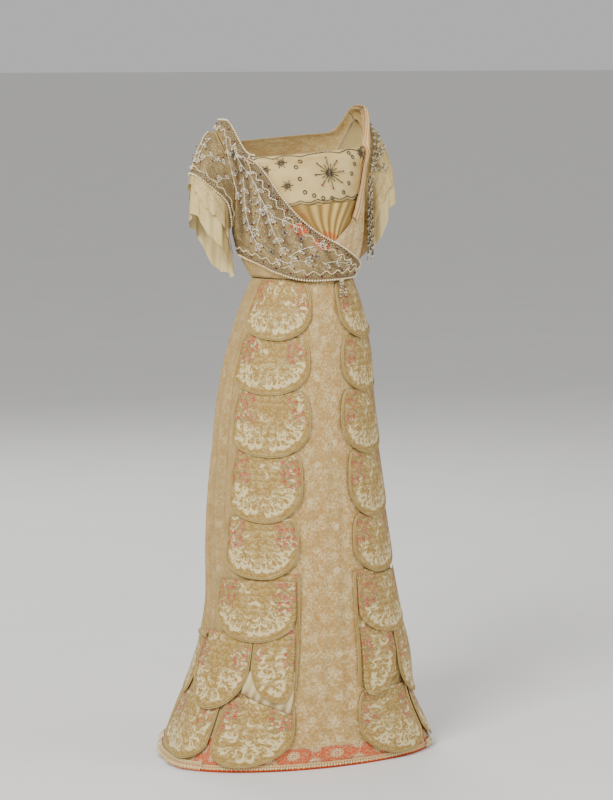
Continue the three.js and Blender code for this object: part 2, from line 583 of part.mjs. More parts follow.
const BEADS_OUT = FIRST_LAYER + CLOTH + PIPING + 1.4 * BEAD;
const onSleeve = (around, along) => lifted((u, v) => sleeveAt(1, u, v), around, along, BEADS_OUT);
const headAt = onSleeve(FESTOON_HEAD.around, FESTOON_HEAD.along);
const head = new THREE.SphereGeometry(FESTOON_HEAD.size, 8, 4).scale(1, FESTOON_HEAD.flat, 1);
head.translate(headAt.x, headAt.y, headAt.z);
function beadLoop(loop) {
  const angle = loop.direction * DEGREE;
  const at = (part, aside) => {
    const reach = loop.reach * part;
    const towardsTop = reach * Math.cos(angle) + aside * Math.sin(angle);
    const towardsCuff = reach * Math.sin(angle) - aside * Math.cos(angle);
    return onSleeve(
      FESTOON_HEAD.around - towardsTop * SLEEVE_SCALE.around,
      FESTOON_HEAD.along + towardsCuff * SLEEVE_SCALE.along,
    );
  };
  const legs = [0.3, 0.62, 0.9];
  const out = legs.map((part) => at(part, loop.spread * part));
  const back = legs.map((part) => at(part, -loop.spread * part)).reverse();
  return strand([headAt, ...out, at(1, 0), ...back, headAt], BEAD, 14);
}
add("bead_festoon", fused([head, ...FESTOON_LOOPS.map(beadLoop)]), PEARL, 0.3);

// A tassel: strands that hang from one block and stand apart below it.
function tassel({ block, x, y, lean, length, strands, spread }) {
  const top = new THREE.BoxGeometry(block.wide, block.deep, block.tall).translate(block.x, block.y, block.z);
  const threads = Array.from({ length: strands }, (_, i) => {
    const shift = (i - (strands - 1) / 2) * spread;
    const depth = (i % 2 ? 1 : -1) * BEAD * 0.3;
    const reach = length * (1 - 0.06 * (i % 3));
    const at = (part) =>
      new THREE.Vector3(x + shift * (0.45 + 0.55 * part), y + (depth + lean) * part, block.z - reach * part);
    return strand([at(0), at(0.3), at(0.65), at(1)], BEAD * 0.62, 6);
  });
  return fused([top, ...threads]);
}
add("shoulder_tassel", tassel(SHOULDER_TASSEL), PEARL, 0.3);
add("waist_tassel", tassel(WAIST_TASSEL), PEARL, 0.3);

export default dress;
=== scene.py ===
"""An evening dress of about 1911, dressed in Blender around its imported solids.

Lengths in the tables are millimetres, +Z is up, the front faces -Y and the wearer's left is +X.
The origin is midway between the shoulders. Turn is the angle from centre front, in degrees.
"""
import logging
import math
from collections.abc import Callable, Sequence
from dataclasses import dataclass, field
from enum import Enum
from functools import partial

import bpy
import numpy as np
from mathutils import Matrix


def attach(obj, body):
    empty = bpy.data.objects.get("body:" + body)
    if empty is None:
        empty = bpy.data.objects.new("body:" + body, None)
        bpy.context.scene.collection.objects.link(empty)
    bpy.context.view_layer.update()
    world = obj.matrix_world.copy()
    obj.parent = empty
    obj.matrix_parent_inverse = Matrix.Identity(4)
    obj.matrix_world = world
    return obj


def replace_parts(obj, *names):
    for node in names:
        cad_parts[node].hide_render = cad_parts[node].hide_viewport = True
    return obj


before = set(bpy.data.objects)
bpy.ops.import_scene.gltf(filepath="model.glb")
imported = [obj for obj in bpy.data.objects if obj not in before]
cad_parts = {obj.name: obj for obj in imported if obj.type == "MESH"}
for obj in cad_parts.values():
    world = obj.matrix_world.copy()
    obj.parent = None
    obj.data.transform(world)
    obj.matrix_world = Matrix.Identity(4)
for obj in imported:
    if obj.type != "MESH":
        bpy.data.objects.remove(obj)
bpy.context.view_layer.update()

LOG = logging.getLogger("dress")
UNIT = 0.001
DEGREE = math.pi / 180
ROOT = "root"

Grid = np.ndarray
Surface = Callable[[Grid, Grid], Grid]
Lift = Callable[[Grid, Grid], Grid]
Edge = Callable[[Grid], Grid]
Place = Callable[[Grid, Grid], tuple[Grid, Grid]]


# ---- The dress form: the same rings, edges and layers as the solids ----
FLOOR = -1336.0
WAIST = -330.0
TILT = 0.075
CLOTH = 1.4
FIRST_LAYER = 3.5
SECOND_LAYER = 6.9
THIRD_LAYER = 9.2
LAYER_STEP = SECOND_LAYER - FIRST_LAYER
HEM_SHOWS = 14.0
CORAL_TOP = -1288.0
FOLD_REACH = 150.0


def rows(names: str, *values: Sequence[float]) -> list[dict[str, float]]:
    """Give one dictionary for each row of a table whose columns the first string names."""
    return [dict(zip(names.split(), row)) for row in values]


SKIRT_RINGS = rows(
    "height middle right left front back",
    (FLOOR, -38, 277, 301, 149, 335),
    (-1306, -38, 268, 296, 150, 315),
    (-1213, -38, 231, 254, 151, 260),
    (-1110, -38, 200, 240, 152, 215),
    (-1006, -38, 186, 214, 152, 175),
    (-900, -38, 184, 198, 152, 150),
    (-799, -38, 182, 184, 152, 140),
    (-696, -38, 174, 170, 152, 132),
    (-592, -38, 164, 158, 150, 126),
    (-468, -40, 142, 148, 145, 116),
    (-385, -44, 118, 124, 133, 100),
    (WAIST, -50, 96, 105, 112, 82),
)
BODICE_RINGS = rows(
    "level frontZ sideZ backZ middle side front back power",
    (0, WAIST, WAIST, WAIST, -50, 100, 112, 82, 2),
    (0.1, -300, -298, -298, -48, 117, 122, 94, 2),
    (0.2, -258, -256, -256, -44, 129, 128, 104, 2),
    (0.35, -205, -203, -203, -38, 136, 127, 111, 2),
    (0.5, -152, -150, -152, -30, 140, 124, 112, 2.1),
    (0.65, -114, -100, -112, -22, 146, 120, 106, 2.3),
    (0.8, -92, -52, -80, -16, 156, 114, 98, 2.5),
    (0.92, -82, -14, -60, -12, 158, 110, 90, 2.7),
    (1, -78, 0, -50, -10, 146, 107, 84, 2.8),
)
SKIRT_FOLDS = rows(
    "turn width depth top full fade end",
    (88, 5.5, 5, -400, -620, -880, -1030),
    (101, 5.5, 6, -400, -620, -880, -1030),
    (115, 6, 6, -400, -620, -880, -1030),
    (136, 6, 7, -380, -1000, -2000, -2001),
    (151, 6, 8, -380, -1000, -2000, -2001),
    (166, 6, 9, -380, -1000, -2000, -2001),
    (180, 5, 8, -380, -1000, -2000, -2001),
)
DRAPE_EDGES = rows(
    "level right left back",
    (0, 64, -20, 205),
    (0.08, 56, -12, 196),
    (0.16, 26, 0, 187),
    (0.24, 0, 16, 177),
    (0.325, -15, 32, 168),
    (0.485, -31, 44, 153),
    (0.65, -38, 47, 143),
    (0.85, -41, 46, 138),
    (1, -44, 45, 134),
)
DRAPE_RISE = rows(
    "turn rise",
    (-205, 0),
    (-150, 0.07),
    (-104, 0.13),
    (-68, 0.1),
    (-42, 0.045),
    (-15, 0),
    (64, 0.02),
)
NECK_BAND = rows(
    "along turn level wideTurn wideLevel",
    (0, 103.5, 0.99, 103.5, 0.955),
    (0.25, 75, 0.99, 76, 0.955),
    (0.42, 50, 0.985, 56, 0.94),
    (0.5, 45.5, 0.95, 51, 0.9),
    (0.6, 46, 0.8, 52, 0.8),
    (0.7, 47, 0.65, 53, 0.65),
    (0.78, 45, 0.52, 51.5, 0.51),
    (0.86, 39, 0.43, 46, 0.41),
    (0.93, 31, 0.34, 37, 0.315),
)
CAP_EDGES = rows(
    "around right left",
    (-150, 0.2, 0.3),
    (-90, 0.36, 0.55),
    (-40, 0.52, 0.76),
    (0, 0.6, 0.82),
    (40, 0.57, 0.78),
    (70, 0.5, 0.66),
    (90, 0.4, 0.55),
    (110, 0.3, 0.45),
    (150, 0.24, 0.35),
)


def smooth(value: Grid | float, low: float, high: float) -> Grid:
    """Ease from 0 at low to 1 at high."""
    t = np.clip((np.asarray(value, float) - low) / (high - low), 0, 1)
    return t * t * (3 - 2 * t)


def wrapped(turn: Grid | float) -> Grid:
    """Bring a turn to between -180 and 180 degrees."""
    return ((turn + 180) % 360) - 180


def unit(vectors: Grid) -> Grid:
    """Scale vectors to a length of 1."""
    return vectors / np.maximum(np.linalg.norm(vectors, axis=-1, keepdims=True), 1e-9)


def lengths(line: Grid) -> Grid:
    """Give how far along a line each of its points lies."""
    return np.concatenate([[0], np.cumsum(np.linalg.norm(np.diff(line, axis=0), axis=1))])


def gap_to(points: Grid, line: Grid) -> Grid:
    """Give how far, in metres, each point of a grid lies from the nearest point of a line."""
    return np.linalg.norm(points[:, :, None] - line[None, None], axis=-1).min(-1) * UNIT


class Column:
    """A smooth curve through one column of a table."""

    def __init__(self, table: Sequence[dict[str, float]], at: str, name: str) -> None:
        """Read and order the points.

        Args:
            table: the rows.
            at: the column that the curve runs along.
            name: the column whose values it gives.
        """
        ordered = sorted(table, key=lambda row: row[at])
        self.x = np.array([row[at] for row in ordered], float)
        self.y = np.array([row[name] for row in ordered], float)
        low = np.maximum(np.arange(len(self.x)) - 1, 0)
        high = np.minimum(np.arange(len(self.x)) + 1, len(self.x) - 1)
        self.slope = (self.y[high] - self.y[low]) / (self.x[high] - self.x[low])

    def __call__(self, value: Grid | float) -> Grid:
        """Give the curve's value.

        Args:
            value: where along the table.

        Returns:
            The values there.
        """
        clamped = np.clip(np.asarray(value, float), self.x[0], self.x[-1])
        i = np.clip(np.searchsorted(self.x, clamped, side="left") - 1, 0, len(self.x) - 2)
        span = self.x[i + 1] - self.x[i]
        t = (clamped - self.x[i]) / span
        t2, t3 = t * t, t * t * t
        return (
            (2 * t3 - 3 * t2 + 1) * self.y[i]
            + (t3 - 2 * t2 + t) * span * self.slope[i]
            + (3 * t2 - 2 * t3) * self.y[i + 1]
            + (t3 - t2) * span * self.slope[i + 1]
        )


@dataclass(frozen=True)
class Armhole:
    """The oval armhole and the room that cloth leaves round it."""

    turn: float = 104
    level: float = 0.6
    half_turn: float = 22
    half_level: float = 0.3
    seam: float = 0.12
    margin_turn: float = 5
    margin_level: float = 0.055

    def edge(self, level: Grid, sense: int, clear: bool = False) -> Grid:
        """Give the turn of the armhole's front or back edge.

        Args:
            level: the level on the bodice.
            sense: 1 for the front edge and -1 for the back one.
            clear: whether the margin is left free.

        Returns:
            The turns.
        """
        half_level = self.half_level + (self.margin_level if clear else 0)
        half_turn = self.half_turn + (self.margin_turn if clear else 0)
        part = (level - self.level) / half_level
        inside = np.sqrt(np.maximum(0, 1 - part * part))
        return self.turn - sense * (self.seam + half_turn * inside)


@dataclass(frozen=True)
class Cuff:
    """The slanted oval at the foot of a sleeve, and how the sleeve bows out towards it."""

    middle_x: float = 182
    middle_y: float = -20
    half_width: float = 43
    half_depth: float = 54
    height: float = -256
    slant: float = 66
    leave_out: float = 36
    leave_more: float = 14
    leave_drop: float = 10
    arrive_up: float = 52
    arrive_more: float = 18


class DressForm:
    """The surfaces that every piece of cloth follows, in millimetres."""

    def __init__(self) -> None:
        """Read the tables."""
        sides = ("middle", "right", "left", "front", "back")
        self.ring = {n: Column(SKIRT_RINGS, "height", n) for n in sides}
        names = ("frontZ", "sideZ", "backZ", "middle", "side", "front", "back", "power")
        self.torso = {n: Column(BODICE_RINGS, "level", n) for n in names}
        self.armhole = Armhole()
        self.cuff = Cuff()

    def folds(self, turn: Grid, height: Grid) -> Grid:
        """Give how far the skirt's soft folds stand out."""
        around = np.abs(((turn + 540) % 360) - 180)
        total = np.zeros(np.broadcast(turn, height).shape)
        for fold in SKIRT_FOLDS:
            long = smooth(height, fold["end"], fold["fade"]) * (1 - smooth(height, fold["full"], fold["top"]))
            total = total + fold["depth"] * long * np.exp(-(((around - fold["turn"]) / fold["width"]) ** 2))
        return total

    def skirt(self, turn: Grid, height: Grid) -> Grid:
        """Give the skirt's points for each turn and height."""
        across, ahead = np.sin(turn * DEGREE), np.cos(turn * DEGREE)
        full = 1 + self.folds(turn, height) / FOLD_REACH
        side = np.where(across > 0, self.ring["left"](height), self.ring["right"](height))
        reach = np.where(ahead > 0, self.ring["front"](height), self.ring["back"](height))
        y = self.ring["middle"](height) - full * ahead * reach
        return np.stack(np.broadcast_arrays(full * across * side, y, height), -1)

    def bodice(self, turn: Grid, level: Grid) -> Grid:
        """Give the bodice's points for each turn and level."""
        across, ahead = np.sin(turn * DEGREE), np.cos(turn * DEGREE)
        power = 2 / self.torso["power"](level)
        reach = np.where(ahead > 0, self.torso["front"](level), self.torso["back"](level))
        x = np.sign(across) * np.abs(across) ** power * self.torso["side"](level)
        y = self.torso["middle"](level) - np.sign(ahead) * np.abs(ahead) ** power * reach
        side = self.torso["sideZ"](level)
        end = np.where(ahead > 0, self.torso["frontZ"](level), self.torso["backZ"](level))
        z = side + (end - side) * smooth(np.abs(ahead), 0.08, 0.72) + TILT * x * smooth(level, 0.05, 0.5)
        return np.stack(np.broadcast_arrays(x, y, z), -1)

    def sleeve(self, side: int, around: Grid, along: Grid) -> Grid:
        """Give a sleeve's points: around is 0 over the shoulder, along is 0 at the armhole."""
        cuff, hole = self.cuff, self.armhole
        over, ahead = np.cos(around * DEGREE), side * np.sin(around * DEGREE)
        turn = side * (hole.turn - hole.half_turn * ahead)
        start = self.lifted(self.bodice, turn, hole.level + hole.half_level * over, CLOTH + 0.6)
        x = side * (cuff.middle_x + cuff.half_width * over)
        z = cuff.height + cuff.slant * over + TILT * x
        end = np.stack(np.broadcast_arrays(x, cuff.middle_y - cuff.half_depth * ahead, z), -1)
        zero = np.zeros_like(over)
        out = side * (cuff.leave_out + cuff.leave_more * over)
        leave = start + np.stack([out, zero, zero - cuff.leave_drop], -1)
        arrive = end + np.stack([zero, zero, cuff.arrive_up + cuff.arrive_more * over], -1)
        t = np.asarray(along, float)[..., None]
        s = 1 - t
        return s**3 * start + 3 * s * s * t * leave + 3 * s * t * t * arrive + t**3 * end

    @staticmethod
    def normal(surface: Surface, u: Grid, v: Grid) -> Grid:
        """Give a surface's unit normals."""
        small = 1e-3
        along_u = surface(u + small, v) - surface(u - small, v)
        along_v = surface(u, v + small) - surface(u, v - small)
        cross = np.cross(along_u, along_v)
        return cross / np.maximum(np.linalg.norm(cross, axis=-1, keepdims=True), 1e-12)

    def lifted(self, surface: Surface, u: Grid, v: Grid, distance: Grid | float) -> Grid:
        """Move a surface's points out along its normal.

        Args:
            surface: the surface.
            u: its first coordinate.
            v: its second coordinate.
            distance: how far, in millimetres.

        Returns:
            The moved points.
        """
        u, v = np.broadcast_arrays(np.asarray(u, float), np.asarray(v, float))
        away = np.asarray(distance, float)
        return surface(u, v) + self.normal(surface, u, v) * (away[..., None] if away.ndim else away)


FORM = DressForm()
DRAPE_EDGE = {n: Column(DRAPE_EDGES, "level", n) for n in ("right", "left", "back")}
RISE = Column(DRAPE_RISE, "turn", "rise")
BAND = {n: Column(NECK_BAND, "along", n) for n in ("turn", "level", "wideTurn", "wideLevel")}
CAP_EDGE = {n: Column(CAP_EDGES, "around", n) for n in ("right", "left")}


# ---- Finishes: one class wraps a value in a material, one bench adds its nodes ----
Value = "Wire | float"
Colour = tuple[float, float, float]
COLOUR_DEPTH = 1.38


def srgb(red: float, green: float, blue: float) -> Colour:
    """Turn a display colour into a linear one, deepened to stand up to the soft light."""
    linear = [((c / 255 + 0.055) / 1.055) ** 2.4 for c in (red, green, blue)]
    grey = 0.2126 * linear[0] + 0.7152 * linear[1] + 0.0722 * linear[2]
    return tuple(max(0.003, grey + (c - grey) * COLOUR_DEPTH) for c in linear)


class Wire:
    """A number that flows through a material's nodes, with plain arithmetic."""

    def __init__(self, bench: "Bench", socket: bpy.types.NodeSocket) -> None:
        """Keep the socket and the bench that it lies on."""
        self.bench = bench
        self.socket = socket

    def math(self, operation: str, other: Value = 0.0) -> "Wire":
        """Add one Math node on this value and another."""
        return self.bench.node("Math", {"operation": operation}, {0: self, 1: other})

    def _turned(self, operation: str, other: float) -> "Wire":
        """Add one Math node with this value in second place."""
        return self.bench.node("Math", {"operation": operation}, {0: other, 1: self})

    def __add__(self, other: Value) -> "Wire":
        """Add."""
        return self.math("ADD", other)

    __radd__ = __add__

    def __sub__(self, other: Value) -> "Wire":
        """Subtract."""
        return self.math("SUBTRACT", other)

    def __rsub__(self, other: float) -> "Wire":
        """Subtract from a number."""
        return self._turned("SUBTRACT", other)

    def __mul__(self, other: Value) -> "Wire":
        """Multiply."""
        return self.math("MULTIPLY", other)

    __rmul__ = __mul__

    def __truediv__(self, other: Value) -> "Wire":
        """Divide."""
        return self.math("DIVIDE", other)

    def __pow__(self, other: float) -> "Wire":
        """Raise to a power."""
        return self.math("POWER", other)

    def __abs__(self) -> "Wire":
        """Drop the sign."""
        return self.math("ABSOLUTE")

    def sin(self) -> "Wire":
        """Give the sine."""
        return self.math("SINE")

    def cos(self) -> "Wire":
        """Give the cosine."""
        return self.math("COSINE")

    def floor(self) -> "Wire":
        """Give the whole number below."""
        return self.math("FLOOR")

    def part(self) -> "Wire":
        """Give the part after the whole number."""
        return self.math("FRACT")

    def least(self, other: Value) -> "Wire":
        """Give the smaller of two."""
        return self.math("MINIMUM", other)

    def most(self, other: Value) -> "Wire":
        """Give the larger of two."""
        return self.math("MAXIMUM", other)

    def length(self, other: "Wire") -> "Wire":
        """Give the length of a step whose two parts these are."""
        return (self * self + other * other) ** 0.5

    def step(self, low: float, high: float) -> "Wire":
        """Ease from 0 at low to 1 at high; low may be above high."""
        settings = {"interpolation_type": "SMOOTHSTEP"}
        if low < high:
            return self.bench.node("MapRange", settings, {0: self, 1: low, 2: high, 3: 0.0, 4: 1.0})
        return self.bench.node("MapRange", settings, {0: self, 1: high, 2: low, 3: 1.0, 4: 0.0})


class Bench:
    """One material's node tree."""

    def __init__(self, name: str) -> None:
        """Start an empty material."""
        self.material = bpy.data.materials.new(name)
        self.material.use_nodes = True
        self.tree = self.material.node_tree
        self.tree.nodes.clear()

    def node(self, kind: str, settings: dict | None = None, values: dict | None = None,
             output: int | str = 0) -> Wire:
        """Add one node.

        Args:
            kind: the node's type without its ShaderNode prefix.
            settings: its properties, set first.
            values: a number, colour or Wire for each of its inputs.
            output: which output is given back.

        Returns:
            That output.
        """
        made = self.tree.nodes.new("ShaderNode" + kind)
        for name, setting in (settings or {}).items():
            setattr(made, name, setting)
        for key, value in (values or {}).items():
            if isinstance(value, Wire):
                self.tree.links.new(value.socket, made.inputs[key])
            else:
                made.inputs[key].default_value = value
        return Wire(self, made.outputs[output])

    def uv(self, name: str = "cloth") -> tuple[Wire, Wire]:
        """Give the two coordinates of one of the piece's UV maps, in metres."""
        split = self.node("SeparateXYZ", None, {0: self.node("UVMap", {"uv_map": name})})
        return split, Wire(self, split.socket.node.outputs[1])

    def place(self) -> tuple[Wire, Wire, Wire]:
        """Give the object's own coordinates in metres."""
        split = self.node("SeparateXYZ", None, {0: self.node("TexCoord", None, None, "Object")})
        outputs = split.socket.node.outputs
        return split, Wire(self, outputs[1]), Wire(self, outputs[2])

    def joined(self, x: Value, y: Value, z: Value = 0.0) -> Wire:
        """Join three numbers to a vector."""
        return self.node("CombineXYZ", None, {0: x, 1: y, 2: z})

    def noise(self, at: Wire, scale: float, detail: float = 2.0) -> Wire:
        """Give a soft noise of about 0 to 1."""
        return self.node("TexNoise", None, {"Vector": at, "Scale": scale, "Detail": detail})

    def cells(self, at: Wire, scale: float, loose: float, kind: str = "F1") -> bpy.types.Node:
        """Add scattered cells and give their node."""
        settings = {"voronoi_dimensions": "2D", "feature": kind}
        values = {"Vector": at, "Scale": scale, "Randomness": loose}
        return self.node("TexVoronoi", settings, values).socket.node

    def mix(self, factor: Value, low: "Wire | Colour", high: "Wire | Colour") -> Wire:
        """Mix two colours."""
        values = {0: factor}
        for key, colour in ((6, low), (7, high)):
            values[key] = colour if isinstance(colour, Wire) else (*colour, 1.0)
        return self.node("Mix", {"data_type": "RGBA"}, values, 2)

    def bump(self, height: Wire, distance: float, strength: float) -> Wire:
        """Turn a height of 0 to 1 into a normal."""
        return self.node("Bump", None, {"Height": height, "Distance": distance, "Strength": strength})

    def finish(self, values: dict, alpha: bool = False) -> bpy.types.Material:
        """Close the material with a shader that takes these values.

        Args:
            values: the shader's inputs by name.
            alpha: whether light passes where Alpha is low.

        Returns:
            The material.
        """
        shader = self.node("BsdfPrincipled", None, values)
        self.tree.links.new(shader.socket, self.tree.nodes.new("ShaderNodeOutputMaterial").inputs[0])
        if alpha:
            self.material.surface_render_method = "DITHERED"
        return self.material


@dataclass(frozen=True)
class Motifs:
    """Figures that several weaves share, drawn on flat cloth in metres."""

    bench: Bench
    x: Wire
    y: Wire

    def spots(self, pitch: float, loose: float, shift: float = 0.0) -> tuple[Wire, Wire, Wire]:
        """Scatter centres.

        Args:
            pitch: how far apart they lie.
            loose: 0 on a grid and 1 at random.
            shift: moves the whole set.

        Returns:
            The distance from the nearest centre, the angle round it, and a number of its own.
        """
        at = self.bench.joined(self.x + shift, self.y + 0.37 * shift)
        node = self.bench.cells(at, 1 / pitch, loose)
        split = self.bench.node("SeparateXYZ", None, {0: Wire(self.bench, node.outputs["Position"])})
        own = self.bench.node("SeparateColor", None, {0: Wire(self.bench, node.outputs["Color"])})
        dx = self.x + shift - split
        dy = self.y + 0.37 * shift - Wire(self.bench, split.socket.node.outputs[1])
        return dx.length(dy), dy.math("ARCTAN2", dx), own

    def flower(self, pitch: float, loose: float, size: float, petals: int, shift: float = 0.0) -> Wire:
        """Give scattered flowers with an eye and a ring of petals, 0 to 1."""
        away, angle, own = self.spots(pitch, loose, shift)
        edge = size * (0.7 + 0.3 * (angle * petals + own * 6).cos())
        body = (edge - away).step(-0.15 * size, 0.15 * size)
        hole = (abs(away - 0.38 * size)).step(0.06 * size, 0.14 * size)
        return body * (0.35 + 0.65 * hole)

    def leaves(self, pitch: float, size: float, shift: float = 0.0, thin: float = 0.36) -> Wire:
        """Give scattered pointed leaves that each lie their own way, 0 to 1."""
        away, angle, own = self.spots(pitch, 0.9, shift)
        turned = angle - own * 6.283
        along, across = away * turned.cos(), abs(away * turned.sin())
        wide = thin * size * (1 - (along / size) * (along / size))
        return (wide - across).step(-0.1 * size, 0.12 * size) * (1 - across.step(0.10 * size, 0.0) * 0.35)

    def net(self, pitch: float, thread: float) -> Wire:
        """Give a diamond net's threads, 0 to 1."""
        wave = math.pi / pitch
        one = abs(((self.x + self.y) * wave).sin())
        two = abs(((self.x - self.y) * wave).sin())
        return one.least(two).step(thread, thread * 0.45)

    def weave(self, pitch: float) -> Wire:
        """Give plain woven threads, 0 to 1."""
        wave = 2 * math.pi / pitch
        return 0.5 + 0.25 * ((self.x * wave).sin() + (self.y * wave).sin())


class Lining(Enum):
    """What lies behind the lace of a piece."""

    CREAM = "cream"
    CORAL = "coral"


@dataclass(frozen=True)
class Lace:
    """Cotton lace with sprigs, star flowers and a net ground, over a lining that shows through it."""

    name: str
    thread: Colour = srgb(224, 208, 174)
    ground: Colour = srgb(164, 139, 100)
    blush: Colour = srgb(168, 132, 92)
    lining: Lining = Lining.CREAM
    coral_top: float = CORAL_TOP
    contrast: float = 1.0
    rays: int = 12

    def stars(self, x: Wire, y: Wire, pitch: tuple[float, float], size: float) -> Wire:
        """Give rayed flowers set in staggered columns, 0 to 1."""
        column = (x / pitch[0]).floor()
        dx = ((x / pitch[0]).part() - 0.5) * pitch[0]
        dy = ((y / pitch[1] + column * 0.5).part() - 0.5) * pitch[1]
        away = dx.length(dy)
        turned = (dy.math("ARCTAN2", dx) * self.rays).cos()
        ring = abs(away - 0.45 * size).step(0.16 * size, 0.07 * size)
        reach = away.step(0.42 * size, 0.5 * size) * away.step(size, 0.88 * size)
        ray = (0.2 + turned).step(0.0, 0.35) * reach
        return ring.most(ray).most(away.step(0.2 * size, 0.12 * size))

    def material(self) -> bpy.types.Material:
        """Build the lace."""
        bench = Bench(self.name)
        x, y = bench.uv()
        at = bench.joined(x, y)
        drift = bench.noise(at, 55, 3) - 0.5
        bent, risen = x + drift * 0.005, y + drift * -0.005
        art = Motifs(bench, bent, risen)
        stars = self.stars(bent, risen, (0.046, 0.088), 0.0078)
        sprigs = art.leaves(0.0105, 0.0042, 0.007, 0.42)
        column = abs((x / 0.023).part() - 0.5)
        lozenge = abs(column * 0.9 + abs((y / 0.034).part() - 0.5) - 0.42).step(0.10, 0.03)
        borders = bench.cells(at, 1 / 0.012, 0.9, "DISTANCE_TO_EDGE").outputs["Distance"]
        stems = Wire(bench, borders).step(0.11, 0.03)
        figure = stars.most(sprigs * 0.7).most(lozenge * 0.35).most(stems * 0.35)
        net = art.net(0.0026, 0.55)
        roses = art.flower(0.038, 0.5, 0.0115, 6, 0.004)
        figure = figure.most(roses * 0.6)
        cover = (figure * 0.9 + net * 0.3).least(1.0) * self.contrast
        cloud = bench.noise(bench.joined(x, y * 0.3), 22, 4)
        # Pinkish-tan streaks: partly a tint of the lace, in stretched clouds, and partly painted fold shade,
        # in stripes down the lace columns.
        blush_and_shade = (column.step(0.32, 0.12) * 0.3 + (cloud - 0.42) * 2.2).most(0.0).least(1.0)
        ground = bench.mix(blush_and_shade, self.ground, self.blush)
        patch = bench.noise(at, 34, 2).step(0.38, 0.62)
        shade = bench.mix(cover * (0.45 + 0.55 * patch), ground, self.thread)
        values = {"Base Color": shade}
        if self.lining is Lining.CORAL:
            _, depth, height = bench.place()
            ragged = height + (bench.noise(at, 90, 2) - 0.5) * 0.010
            top = self.coral_top * UNIT
            low = ragged.step(top + 0.004, top - 0.004) * depth.step(-0.082, -0.094)
            daisy = self.stars(x, y, (0.033, 0.030), 0.0105) * 0.75
            open_net = bench.noise(at, 300, 2).step(0.45, 0.65) * 0.16 + sprigs * 0.14 + net * 0.10
            clear = 1 - low * (1 - daisy.most(open_net).least(1.0))
            values = {"Base Color": bench.mix(low * 0.8, shade, srgb(232, 214, 180)), "Alpha": clear}
        relief = cover * 0.8 + bench.noise(at, 420, 2) * 0.2
        values |= {"Roughness": 0.84 - 0.1 * cover, "Normal": bench.bump(relief, 0.0010, 0.7),
                   "Specular IOR Level": 0.2}
        return bench.finish(values, self.lining is Lining.CORAL)


